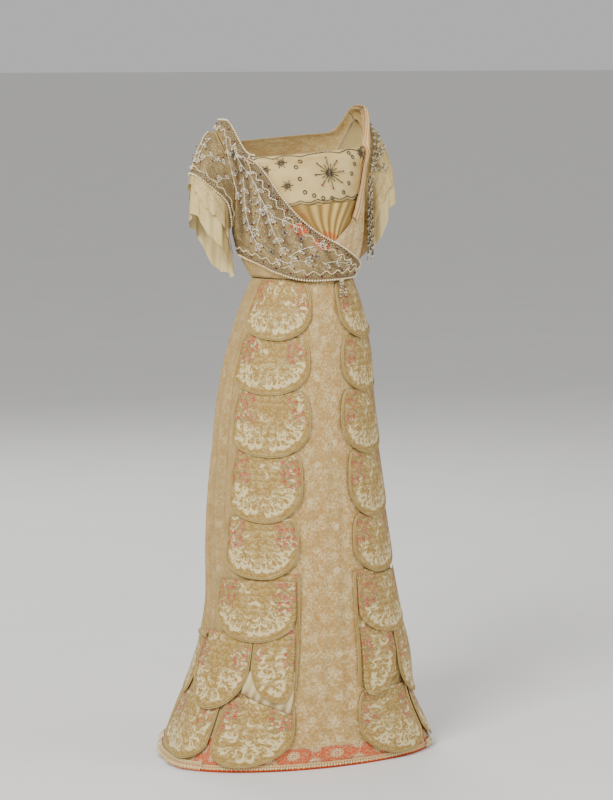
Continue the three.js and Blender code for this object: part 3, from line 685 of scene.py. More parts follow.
@dataclass(frozen=True)
class Brocade:
    """Cream silk figured with gold damask, white scrolled leaves and clustered roses."""

    name: str = "figured_silk"

    def material(self) -> bpy.types.Material:
        """Build the brocade."""
        bench = Bench(self.name)
        x, y = bench.uv()
        run, deep = bench.uv("rim")
        side, down = bench.uv("petal")
        at = bench.joined(x, y)
        wobble = (bench.noise(at, 70, 2) - 0.5) * 0.006
        art = Motifs(bench, x + wobble, y - wobble)
        edge = Motifs(bench, run + wobble, deep - wobble * 0.5)
        zone = bench.noise(at, 24, 2)
        cream = bench.mix(zone.step(0.35, 0.65), srgb(180, 162, 125), srgb(168, 147, 109))
        gold = self.curls(art, 0.0140, 0.35, 0.0070, 0.031)
        gold = gold.most(self.curls(art, 0.0110, 0.6, 0.0044, 0.077))
        rim = abs(((run / 0.006).part() - 0.5) * 2).step(0.75, 0.5)
        rim = rim * deep.step(0.0115, 0.008) * deep.step(0.0062, 0.0074)
        shade = bench.mix(gold.most(rim) * 0.72, cream, srgb(136, 110, 70))
        lower = down.step(0.38, 0.56)
        patch = bench.noise(bench.joined(run, deep), 21, 1)
        row = deep.step(0.010, 0.013) * deep.step(0.060, 0.046) * lower
        white = self.feathers(edge, 0.0165, 0.0235, 0.0100, 0.5)
        white = white * (down.step(0.16, 0.26) * patch.step(0.38, 0.44))
        white = white.most(self.curls(edge, 0.0190, 0.45, 0.0080, 0.013) * row * patch.step(0.56, 0.50))
        white = white.most(self.curls(art, 0.0160, 0.7, 0.0066, 0.051) * row * zone.step(0.46, 0.52))
        loose = self.curls(art, 0.0250, 0.6, 0.0095, 0.019) * zone.step(0.50, 0.44)
        leaf = white.most(loose * (1 - lower) * 0.9)
        shade = bench.mix(leaf * 0.88, shade, srgb(218, 204, 168))
        shade = self.roses(bench, art, shade, abs(side - 0.5).step(0.10, 0.30) * down.step(0.62, 0.40))
        wear = bench.noise(at, 300, 2)
        threads = art.weave(0.0011)
        height = leaf * 0.55 + gold * 0.3 + threads * 0.12 + wear * 0.1
        values = {
            "Base Color": bench.mix((wear - 0.5).most(0.0) * 0.4, shade, srgb(172, 148, 106)),
            "Roughness": 0.58 - 0.2 * leaf,
            "Normal": bench.bump(height, 0.0009, 0.7),
            "Specular IOR Level": 0.25,
        }
        return bench.finish(values)

    @staticmethod
    def curls(art: Motifs, pitch: float, loose: float, size: float, shift: float) -> Wire:
        """Give scattered curled leaves, each a crescent that tapers to a point, 0 to 1.

        Args:
            art: the coordinates that they follow.
            pitch: how far apart they lie.
            loose: 0 on a grid and 1 at random.
            size: how large each is.
            shift: moves the whole set.

        Returns:
            The leaves.
        """
        away, angle, own = art.spots(pitch, loose, shift)
        turned = angle - own * 2.4
        dx, dy = away * turned.cos(), away * turned.sin()
        hole = (dx - 0.42 * size).length(dy - 0.16 * size)
        body = away.step(size, 0.90 * size) * hole.step(0.66 * size, 0.76 * size)
        return body.most(hole.step(0.26 * size, 0.16 * size))

    @staticmethod
    def feathers(edge: Motifs, pitch: float, deep: float, size: float, lean: float) -> Wire:
        """Give a row of curled leaves that follows the rim and leans one way, 0 to 1.

        Args:
            edge: the coordinates along the rim and in from it.
            pitch: how far apart the leaves lie along the rim.
            deep: how far in from the rim the row runs.
            size: how large each leaf is.
            lean: the angle that each leaf opens towards.

        Returns:
            The row.
        """
        cell = (edge.x / pitch).floor()
        own, other = (cell * 2.3).sin(), (cell * 4.1 + 1.0).sin()
        p = ((edge.x / pitch).part() - 0.5) * pitch + other * pitch * 0.12
        q = (edge.y - deep - own * 0.0052) * 0.74
        large = size * (0.94 + other * 0.22)
        angle = other * 0.8 + lean
        hole = (p - angle.cos() * (size * 0.42)).length(q - angle.sin() * (size * 0.42))
        body = (large - p.length(q)).step(0.0, 0.0008) * (hole - large * 0.71).step(0.0, 0.0008)
        return body * own.step(-0.86, -0.80)

    @staticmethod
    def roses(bench: Bench, art: Motifs, shade: Wire, corner: Wire) -> Wire:
        """Lay clusters of roses and grey-green leaves over a colour, towards the upper corners."""
        scatter = bench.noise(bench.joined(art.x, art.y), 21, 2)
        clusters = (corner * 0.42 + scatter * 0.95).step(0.685, 0.745)
        for shift, pitch, size, deep, light in (
            (0.061, 0.0150, 0.0062, srgb(142, 60, 54), srgb(184, 122, 102)),
            (0.113, 0.0120, 0.0044, srgb(160, 94, 74), srgb(192, 146, 118)),
        ):
            away, angle, own = art.spots(pitch, 0.8, shift)
            edge = size * (0.82 + 0.18 * (angle * 5 + own * 6).cos())
            keep = own.step(0.25, 0.32) * clusters
            body = (edge - away).step(0.0, 0.0010) * keep
            turns = (away / size * 8 + angle).sin() * 0.5 + 0.5
            fan = abs((angle * 1.5 + own * 5).sin()).step(0.70, 0.95)
            green = (edge * 1.9 - away).step(0.0, 0.001) * fan * keep
            shade = bench.mix(green * 0.7, shade, srgb(112, 118, 92))
            shade = bench.mix(body * 0.88, shade, bench.mix(turns, deep, light))
        return shade


def glowing(bench: Bench, shade: Wire, spots: Sequence[Sequence[float]], size: float) -> Wire:
    """Tint cloth coral in ragged patches where the lining shows through it.

    Args:
        bench: the material's bench.
        shade: the cloth's colour.
        spots: the middles of the patches, in metres.
        size: how far they reach.

    Returns:
        The tinted colour.
    """
    px, py, pz = bench.place()
    for spot in spots:
        dx, dy, dz = px - spot[0], py - spot[1], pz - spot[2]
        ragged = (bench.noise(bench.joined(px, py, pz * 0.5), 150, 3) - 0.5) * size * 1.9
        away = (dx * dx + dy * dy + dz * dz * 1.6) ** 0.5 + ragged
        shade = bench.mix(away.step(size, size * 0.8) * 0.78, shade, srgb(196, 88, 56))
    return shade


@dataclass(frozen=True)
class Satin:
    """Smooth silk satin with a faint crosswise thread, and painted shade in the valleys that a piece's rim
    map marks.
    """

    name: str
    colour: Colour
    dark: Colour
    roughness: float = 0.38
    painted_valley_shade: float = 0.0
    glow: tuple[tuple[float, float, float], ...] = ()

    def material(self) -> bpy.types.Material:
        """Build the satin."""
        bench = Bench(self.name)
        x, y = bench.uv()
        at = bench.joined(x, y)
        cloud = bench.noise(at, 14, 3)
        slubs = bench.noise(bench.joined(x * 4, y * 0.3), 260, 2)
        shade = bench.mix(cloud.step(0.35, 0.7), self.colour, self.dark)
        shade = glowing(bench, shade, self.glow, 0.013)
        if self.painted_valley_shade:
            # Painted shade: darkens the satin towards deep brown where the rim map's first channel marks a
            # valley or pucker.
            shade = bench.mix((bench.uv("rim")[0] ** 1.5) * self.painted_valley_shade * 0.92, shade, srgb(108, 82, 52))
        return bench.finish({
            "Base Color": bench.mix(slubs * 0.25, shade, self.dark),
            "Roughness": self.roughness + 0.15 * slubs,
            "Normal": bench.bump(slubs * 0.5 + cloud * 0.5, 0.0006, 0.5),
            "Specular IOR Level": 0.25,
        })


@dataclass(frozen=True)
class Sheer:
    """Chiffon or net that light passes through between its threads."""

    name: str
    colour: Colour
    dark: Colour
    cover: float = 0.8
    mesh: float = 0.0016
    figures: float = 0.0

    def material(self) -> bpy.types.Material:
        """Build the sheer cloth."""
        bench = Bench(self.name)
        x, y = bench.uv()
        at = bench.joined(x, y)
        art = Motifs(bench, x, y)
        cloud = bench.noise(at, 22, 3)
        folds = bench.noise(bench.joined(x * 5, y * 0.8), 30, 2)
        net = art.net(self.mesh, 0.6)
        shade = bench.mix(cloud.step(0.3, 0.7), self.colour, self.dark)
        cover = self.cover + 0.12 * net + 0.2 * (folds - 0.5)
        if self.figures > 0:
            figure = art.flower(0.026, 0.7, 0.009, 6).most(art.leaves(0.016, 0.007, 0.011))
            shade = bench.mix(figure * self.figures, shade, srgb(221, 203, 168))
            cover = cover.most(figure * self.figures)
        return bench.finish({
            "Base Color": bench.mix(net * 0.25, shade, self.colour),
            "Alpha": cover.least(1.0),
            "Roughness": 0.72 + 0.1 * net,
            "Normal": bench.bump(net * 0.4 + folds * 0.6, 0.0008, 0.6),
            "Specular IOR Level": 0.2,
        }, True)


@dataclass(frozen=True)
class Picot:
    """A narrow lace edging with a row of holes and a looped lower edge."""

    name: str
    colour: Colour
    dark: Colour
    pitch: float = 0.0066

    def material(self) -> bpy.types.Material:
        """Build the edging."""
        bench = Bench(self.name)
        x, y = bench.uv()
        across = ((x / self.pitch).part() - 0.5) * self.pitch
        holes = across.length(y + 0.0042).step(0.0022, 0.0016)
        shifted = ((x / self.pitch + 0.5).part() - 0.5) * self.pitch
        holes = holes.most(shifted.length(y + 0.0012).step(0.0013, 0.0009))
        loops = (y * -1) - 0.0062 - 0.0040 * abs((x * (math.pi / self.pitch)).cos())
        worn = bench.noise(bench.joined(x, y), 240, 2)
        return bench.finish({
            "Base Color": bench.mix(worn.step(0.35, 0.7), self.colour, self.dark),
            "Alpha": (1 - holes * 0.9) * (1 - loops.step(-0.0005, 0.0005)),
            "Roughness": 0.8,
            "Normal": bench.bump(worn * 0.5 + holes * -0.5, 0.0008, 0.7),
            "Specular IOR Level": 0.25,
        }, True)


@dataclass(frozen=True)
class BeadedNet:
    """Grey-brown net with faint lace figures and a darker border, over silk that tints it in places, with
    painted shade in its pleats' valleys.
    """

    name: str
    glow: tuple[tuple[float, float, float], ...] = ()

    def material(self) -> bpy.types.Material:
        """Build the net."""
        bench = Bench(self.name)
        x, y = bench.uv()
        fold, deep = bench.uv("rim")
        at = bench.joined(x, y)
        art = Motifs(bench, x, y)
        cloud = bench.noise(at, 24, 3)
        shade = bench.mix(cloud.step(0.3, 0.7), srgb(152, 134, 102), srgb(118, 101, 74))
        figure = art.leaves(0.012, 0.0045, 0.011).most(art.flower(0.024, 0.7, 0.007, 6) * 0.8)
        shade = bench.mix(figure * 0.45, shade, srgb(206, 190, 154))
        shade = glowing(bench, shade, self.glow, 0.021)
        band = deep.step(0.0150, 0.0125)
        net = art.net(0.0030, 0.6)
        shade = bench.mix(band * 0.72, shade, srgb(106, 88, 62))
        shade = bench.mix(net * 0.22, shade, srgb(112, 98, 76))
        # Painted shade: darkens the net where the rim map's first channel gives a deep pleat.
        shade = bench.mix((fold * 0.85).least(0.75), shade, srgb(84, 69, 50))
        seeds = art.spots(0.0036, 0.6, 0.03)[0].step(0.0009, 0.0006) * (0.35 + band * 0.5)
        shade = bench.mix(seeds, shade, srgb(204, 198, 184))
        return bench.finish({
            "Base Color": shade,
            "Alpha": (0.90 + 0.1 * net).most(figure).least(1.0),
            "Roughness": 0.66 + 0.1 * net,
            "Normal": bench.bump(net * 0.3 + figure * 0.4 + seeds * 0.4, 0.0009, 0.7),
            "Specular IOR Level": 0.2,
        }, True)


@dataclass(frozen=True)
class Bead:
    """Pearl, glass or steel beads, each a little unlike the next."""

    name: str
    colour: Colour
    dark: Colour
    roughness: float = 0.2
    metal: float = 0.0

    def material(self) -> bpy.types.Material:
        """Build the beads' finish."""
        bench = Bench(self.name)
        x, y, z = bench.place()
        own = bench.noise(bench.joined(x, y, z), 260, 1)
        shade = bench.mix(own.step(0.38, 0.62), self.colour, self.dark)
        return bench.finish({
            "Base Color": shade,
            "Roughness": self.roughness + 0.12 * own,
            "Metallic": self.metal,
            "Coat Weight": 0.4,
            "Normal": bench.bump(own, 0.0002, 0.3),
        })


class Finishes:
    """Every finish of the dress, built once."""

    def __init__(self) -> None:
        """Build the materials."""
        self.laces()
        self.silks()
        self.nets()
        self.pearl = Bead("pearl", srgb(238, 226, 200), srgb(206, 190, 156), 0.22).material()
        self.glass = Bead("white_glass", srgb(230, 224, 206), srgb(186, 178, 160), 0.14).material()
        self.steel = Bead("steel_bead", srgb(92, 84, 72), srgb(52, 47, 40), 0.25, 0.5).material()
        self.silver = Bead("silver_bead", srgb(186, 180, 164), srgb(104, 97, 84), 0.22, 0.4).material()
        self.garnet = Bead("garnet", srgb(112, 18, 34), srgb(62, 8, 18), 0.08).material()

    @staticmethod
    def places(*spots: tuple[float, float]) -> tuple[tuple[float, float, float], ...]:
        """Give the points, in metres, of places on the bodice by turn and level."""
        return tuple(tuple(FORM.bodice(np.array(t), np.array(v)) * UNIT) for t, v in spots)

    def laces(self) -> None:
        """Build the laces."""
        self.front_lace = Lace("front_lace", lining=Lining.CORAL).material()
        side = (srgb(200, 184, 150), srgb(158, 138, 104), srgb(164, 134, 100))
        self.side_lace = Lace("side_lace", *side, Lining.CORAL, -1262.0, 0.8).material()
        bodice = (srgb(204, 187, 152), srgb(164, 143, 106), srgb(170, 140, 104))
        self.bodice_lace = Lace("bodice_lace", *bodice).material()
        drape = (srgb(232, 218, 184), srgb(176, 154, 118), srgb(188, 146, 114))
        self.drape_lace = Lace("drape_lace", *drape).material()
        self.edging = Picot("edging_lace", srgb(222, 206, 168), srgb(198, 180, 140)).material()

    def silks(self) -> None:
        """Build the figured silk and the satins."""
        self.brocade = Brocade().material()
        self.coral = Satin("coral_satin", srgb(190, 92, 64), srgb(166, 74, 50), 0.42).material()
        cream = (srgb(224, 211, 180), srgb(198, 182, 146))
        # 0.9 is the strength of the painted shade at the satin fold's edges and in its puckers.
        self.cream_satin = Satin("cream_satin", *cream, 0.30, 0.9).material()
        self.piping = Satin("piping_satin", srgb(182, 164, 126), srgb(156, 136, 98), 0.45).material()
        self.silk = Satin("yoke_silk", srgb(206, 187, 148), srgb(180, 158, 118), 0.5).material()
        self.band = Satin("band_silk", srgb(214, 198, 160), srgb(206, 184, 146), 0.5).material()
        self.pink = Satin("pink_cord", srgb(194, 152, 120), srgb(180, 134, 104), 0.5).material()
        peeps = self.places((-25.0, 0.40), (-17.0, 0.36), (3.0, 0.25), (9.0, 0.235))
        gold = (srgb(202, 180, 134), srgb(184, 158, 112))
        # 1.0 is the strength of the painted shade in the gathers' valleys.
        self.pleated = Satin("pleated_silk", *gold, 0.5, 1.0, peeps).material()

    def nets(self) -> None:
        """Build the chiffon and the nets."""
        self.chiffon = Sheer("chiffon", srgb(220, 205, 164), srgb(200, 182, 140), 0.84).material()
        self.net = BeadedNet("grey_net", self.places((-20.0, 0.285), (-3.0, 0.205))).material()
        self.cap_net = BeadedNet("cap_net").material()
        cap = (srgb(206, 188, 148), srgb(184, 164, 124))
        self.cap_lace = Sheer("cap_lace", *cap, 0.85, 0.003, 0.8).material()


# ---- Making meshes ----
def unselect() -> None:
    """Leave nothing selected, so that an operator acts on the new piece alone."""
    if bpy.context.object and bpy.context.object.mode != "OBJECT":
        bpy.ops.object.mode_set(mode="OBJECT")
    bpy.ops.object.select_all(action="DESELECT")


@dataclass
class Stock:
    """Vertices and faces that are gathered before they become one piece."""

    points: list[Grid] = field(default_factory=list)
    faces: list[Sequence[int]] = field(default_factory=list)
    finish: list[int] = field(default_factory=list)
    maps: dict[str, list[Grid]] = field(default_factory=dict)
    count: int = 0

    def add(self, points: Grid, faces: Sequence[Sequence[int]], slot: int,
            maps: dict[str, Grid] | None = None) -> None:
        """Add a shape.

        Args:
            points: its vertices, in millimetres.
            faces: its faces by vertex.
            slot: which of the piece's materials it takes.
            maps: for each UV map, one point for each corner of each face in order.
        """
        self.points.append(np.asarray(points, float).reshape(-1, 3))
        self.faces.extend([[c + self.count for c in face] for face in faces])
        self.finish.extend([slot] * len(faces))
        corners = sum(len(face) for face in faces)
        for name in set(self.maps) | set(maps or {}):
            given = (maps or {}).get(name)
            done = sum(len(face) for face in self.faces) - corners
            self.maps.setdefault(name, [np.zeros((done, 2))] if done else [])
            self.maps[name].append(np.zeros((corners, 2)) if given is None else given)
        self.count += len(self.points[-1])

    def piece(self, name: str, materials: Sequence[bpy.types.Material], slot: str) -> bpy.types.Object:
        """Make the object.

        Args:
            name: its name.
            materials: its materials in slot order.
            slot: not used.

        Returns:
            The object, riding on the dress.
        """
        mesh = bpy.data.meshes.new(name)
        mesh.from_pydata((np.concatenate(self.points) * UNIT).tolist(), [], self.faces)
        for material in materials:
            mesh.materials.append(material)
        mesh.polygons.foreach_set("material_index", np.array(self.finish, np.int32))
        mesh.polygons.foreach_set("use_smooth", np.ones(len(self.faces), bool))
        for title, parts in self.maps.items():
            layer = mesh.uv_layers.new(name=title)
            layer.data.foreach_set("uv", np.concatenate(parts).astype(np.float32).ravel())
        mesh.update()
        made = bpy.data.objects.new(name, mesh)
        bpy.context.scene.collection.objects.link(made)
        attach(made, ROOT)
        LOG.info("%s: %d faces", name, len(self.faces))
        return made


def spread(grid: Grid, closed: bool) -> tuple[Grid, Grid]:
    """Give the corners of a grid's squares.

    Args:
        grid: the grid, by column and row.
        closed: whether its last column joins its first.

    Returns:
        The vertex numbers, and the numbers in a grid that repeats its first column at the end.
    """
    columns, levels = grid.shape[0], grid.shape[1]
    i, k = np.meshgrid(np.arange(columns if closed else columns - 1), np.arange(levels - 1), indexing="ij")
    corners = [(i, k), (i + 1, k), (i + 1, k + 1), (i, k + 1)]
    here = np.stack([(a % columns) * levels + b for a, b in corners], -1).reshape(-1, 4)
    flat = np.stack([a * levels + b for a, b in corners], -1).reshape(-1, 4)
    return here, flat


@dataclass
class Sheet:
    """Cloth over a grid of places on a surface, with its face outwards."""

    surface: Surface
    u: Grid
    v: Grid
    near: Grid | float
    maps: dict[str, Grid]
    thick: float = 0
    closed: bool = False

    def __post_init__(self) -> None:
        """Work out the grid's points in millimetres, and the way that each faces."""
        self.points = FORM.lifted(self.surface, self.u, self.v, self.near)
        self.out = FORM.normal(self.surface, self.u, self.v)

    def corners(self, spots: Grid) -> dict[str, Grid]:
        """Give each UV map's point for every corner of the faces."""
        return {name: values.reshape(-1, 2)[spots.ravel()] for name, values in self.maps.items()}

    def lay(self, stock: Stock) -> None:
        """Add the cloth to a stock: a single layer, or two and a rim where it has a thickness."""
        here, flat = spread(self.points, self.closed)
        verts, out = self.points.reshape(-1, 3), self.out.reshape(-1, 3)
        a, b, c = (verts[here[:, n]] for n in (0, 1, 2))
        turned = (np.cross(b - a, c - a) * out[here[:, 0]]).sum() < 0
        if turned:
            here, flat = here[:, ::-1], flat[:, ::-1]
        if self.thick <= 0:
            stock.add(verts, here.tolist(), 0, self.corners(flat))
            return
        count = len(verts)
        rim, spots = border(self.points.shape[0], self.points.shape[1], self.closed, turned)
        walls = np.stack([rim[:, 1], rim[:, 0], rim[:, 0] + count, rim[:, 1] + count], -1)
        edge = np.stack([spots[:, 1], spots[:, 0], spots[:, 0], spots[:, 1]], -1)
        faces = np.concatenate([here, here[:, ::-1] + count, walls])
        maps = self.corners(np.concatenate([flat, flat[:, ::-1], edge]))
        stock.add(np.concatenate([verts, verts - out * self.thick]), faces.tolist(), 0, maps)

    def piece(self, name: str, finish: bpy.types.Material, slot: str) -> bpy.types.Object:
        """Make the cloth a piece of its own, in one finish."""
        stock = Stock()
        self.lay(stock)
        return stock.piece(name, [finish], slot)

    def measured(self) -> tuple[float, float, float]:
        """Give the cloth's greatest width and length and its area, in metres."""
        grid = np.concatenate([self.points, self.points[:1]]) if self.closed else self.points
        wide = np.linalg.norm(np.diff(grid, axis=0), axis=-1).sum(0).max() * UNIT
        long = np.linalg.norm(np.diff(grid, axis=1), axis=-1).sum(1).max() * UNIT
        a, b = grid[1:, :-1] - grid[:-1, :-1], grid[:-1, 1:] - grid[:-1, :-1]
        c, d = grid[1:, 1:] - grid[:-1, 1:], grid[1:, 1:] - grid[1:, :-1]
        area = (np.linalg.norm(np.cross(a, b), axis=-1) + np.linalg.norm(np.cross(c, d), axis=-1)).sum() / 2
        return float(wide), float(long), float(area) * UNIT * UNIT

    def declare(self) -> None:
        """Work out the sheet's flat width, length and area; nothing keeps them.
        """
        wide, long, area = self.measured()
        flat = (round(wide, 3), round(long, 3))
        area = float(np.clip(area, 0.31 * flat[0] * flat[1], flat[0] * flat[1]))


def border(columns: int, levels: int, closed: bool, turned: bool) -> tuple[Grid, Grid]:
    """Give the edges round a grid, each in the direction of its face.

    Args:
        columns: the grid's columns.
        levels: its rows.
        closed: whether it is a tube.
        turned: whether its faces were turned over.

    Returns:
        The edges by vertex, and by place in the flat grid.
    """
    i = np.arange(columns if closed else columns - 1)
    k = np.arange(levels - 1)
    runs = [((i, 0 * i), (i + 1, 0 * i)), ((i + 1, 0 * i + levels - 1), (i, 0 * i + levels - 1))]
    if not closed:
        runs += [((0 * k, k + 1), (0 * k, k)), ((0 * k + columns - 1, k), (0 * k + columns - 1, k + 1))]
    here = [np.stack([(a[0] % columns) * levels + a[1], (b[0] % columns) * levels + b[1]], -1)
            for a, b in runs]
    flat = [np.stack([a[0] * levels + a[1], b[0] * levels + b[1]], -1) for a, b in runs]
    joined, spot = np.concatenate(here), np.concatenate(flat)
    return (joined[:, ::-1], spot[:, ::-1]) if turned else (joined, spot)


def tube(stock: Stock, line: Grid, out: Grid, radius: Grid | float, slot: int = 0, sides: int = 6) -> None:
    """Run a round cord along a line, closed at both ends.

    Args:
        stock: where it goes.
        line: its points in millimetres.
        out: a unit vector across the line at each point.
        radius: its radius, or one for each point.
        slot: the material's place.
        sides: how many sides it has.
    """
    ahead = unit(np.gradient(line, axis=0))
    across = unit(np.cross(ahead, out))
    up = np.cross(across, ahead)
    angle = np.arange(sides) * 2 * math.pi / sides
    wide = np.broadcast_to(np.asarray(radius, float), (len(line),))[:, None, None]
    ring = line[:, None] + wide * (np.cos(angle)[None, :, None] * across[:, None]
                                   + np.sin(angle)[None, :, None] * up[:, None])
    grid = ring.transpose(1, 0, 2)
    here, flat = spread(grid, True)
    run = lengths(line) * UNIT
    flat_uv = np.stack(np.broadcast_arrays((np.arange(sides + 1) * 0.002)[:, None], run[None]), -1)
    faces = here[:, ::-1].tolist()
    last = len(line) - 1
    ends = [[s * len(line) for s in range(sides)], [s * len(line) + last for s in reversed(range(sides))]]
    caps = np.zeros((2 * sides, 2))
    stock.add(grid.reshape(-1, 3), faces + ends, slot,
              {"cloth": np.concatenate([flat_uv.reshape(-1, 2)[flat[:, ::-1].ravel()], caps])})


class Track:
    """A line on a surface, held by the surface's own coordinates."""

    def __init__(self, surface: Surface, u: Grid, v: Grid) -> None:
        """Keep the surface and the line's two coordinates on it."""
        self.surface = surface
        self.u, self.v = (np.asarray(a, float) for a in np.broadcast_arrays(u, v))

    def points(self, distance: Grid | float) -> Grid:
        """Give the points that far above the surface."""
        return FORM.lifted(self.surface, self.u, self.v, distance)

    def out(self) -> Grid:
        """Give the surface's unit normals along the line."""
        return FORM.normal(self.surface, self.u, self.v)

    def ahead(self) -> Grid:
        """Give the way that the line runs at each point."""
        return np.gradient(self.points(0.0), axis=0)

    def spaced(self, spacing: float) -> "Track":
        """Give the same line with points this far apart, in millimetres."""
        run = lengths(self.points(0.0))
        at = np.linspace(0, run[-1], max(2, int(run[-1] / spacing) + 1))
        return Track(self.surface, np.interp(at, run, self.u), np.interp(at, run, self.v))

    def shifted(self, aside: Grid | float) -> "Track":
        """Move the line sideways within the surface.

        Args:
            aside: how far, in millimetres, to the side that normal x direction gives.

        Returns:
            The moved line.
        """
        small = 1e-2
        base = self.points(0.0)
        by_u = (self.surface(self.u + small, self.v) - base) / small
        by_v = (self.surface(self.u, self.v + small * 0.1) - base) / (small * 0.1)
        side = unit(np.cross(self.out(), self.ahead())) * np.broadcast_to(aside, self.u.shape)[:, None]
        uu, vv, uv = (by_u * by_u).sum(1), (by_v * by_v).sum(1), (by_u * by_v).sum(1)
        su, sv = (side * by_u).sum(1), (side * by_v).sum(1)
        det = np.maximum(uu * vv - uv * uv, 1e-9)
        return Track(self.surface, self.u + (su * vv - sv * uv) / det, self.v + (sv * uu - su * uv) / det)


class Trim(Enum):
    """The small shapes that bead work repeats."""

    PEARL = "pearl"
    BUGLE = "bugle"
    CABOCHON = "cabochon"
    RING = "ring"


class BeadBox:
    """One modelled shape of each kind, copied wherever the bead work needs it."""

    def __init__(self) -> None:
        """Model the shapes."""
        self.shapes = {kind: self.modelled(kind) for kind in Trim}

    @staticmethod
    def modelled(kind: Trim) -> tuple[Grid, list[list[int]]]:
        """Model one shape about 1 across, standing on +Z.

        Args:
            kind: which shape.

        Returns:
            Its points and faces.
        """
        unselect()
        if kind is Trim.PEARL:
            bpy.ops.mesh.primitive_uv_sphere_add(segments=7, ring_count=5, radius=0.5)
        elif kind is Trim.BUGLE:
            bpy.ops.mesh.primitive_cylinder_add(vertices=6, radius=0.5, depth=1)
        elif kind is Trim.CABOCHON:
            bpy.ops.mesh.primitive_ico_sphere_add(subdivisions=1, radius=0.5)
        else:
            bpy.ops.mesh.primitive_torus_add(
                major_segments=8, minor_segments=4, major_radius=0.38, minor_radius=0.12)
        made = bpy.context.object
        bpy.ops.object.mode_set(mode="EDIT")
        bpy.ops.mesh.select_all(action="SELECT")
        if kind is Trim.BUGLE:
            bpy.ops.mesh.bevel(offset=0.06, segments=1)
        if kind is Trim.CABOCHON:
            bpy.ops.transform.resize(value=(1, 1, 0.7))
        bpy.ops.mesh.normals_make_consistent(inside=False)
        bpy.ops.object.mode_set(mode="OBJECT")
        points = np.array([v.co for v in made.data.vertices], float)
        faces = [list(p.vertices) for p in made.data.polygons]
        bpy.data.objects.remove(made, do_unlink=True)
        return points, faces

    def strew(self, stock: Stock, kind: Trim, at: Grid, up: Grid, ahead: Grid,
              size: float | Sequence[float], slot: int = 0) -> None:
        """Copy a shape to one place or many.

        Args:
            stock: where the copies go.
            kind: the shape.
            at: the places in millimetres.
            up: the way each shape's own +Y points.
            ahead: the way each shape's own +Z, or long side, points.
            size: its width, height and length in millimetres, or one number for all three.
            slot: the material's place.
        """
        points, faces = self.shapes[kind]
        for place, rise, run in zip(*(np.atleast_2d(given) for given in (at, up, ahead))):
            z = run / max(np.linalg.norm(run), 1e-9)
            x = np.cross(rise, z)
            x /= max(np.linalg.norm(x), 1e-9)
            y = np.cross(z, x)
            stock.add(place + (points * np.asarray(size)) @ np.stack([x, y, z]), faces, slot)


def mesh_grid(across: tuple[float, float, int], along: tuple[float, float, int],
              closed: bool = False) -> Sequence[Grid]:
    """Give two grids of evenly spaced values; a closed one leaves out its last column."""
    u = np.linspace(*across)[:-1] if closed else np.linspace(*across)
    return np.broadcast_arrays(u[:, None], np.linspace(*along)[None])


def crowd(count: int, power: float) -> Grid:
    """Give steps from 0 to 1 that crowd towards 1."""
    return 1 - (1 - np.linspace(0, 1, count)) ** power


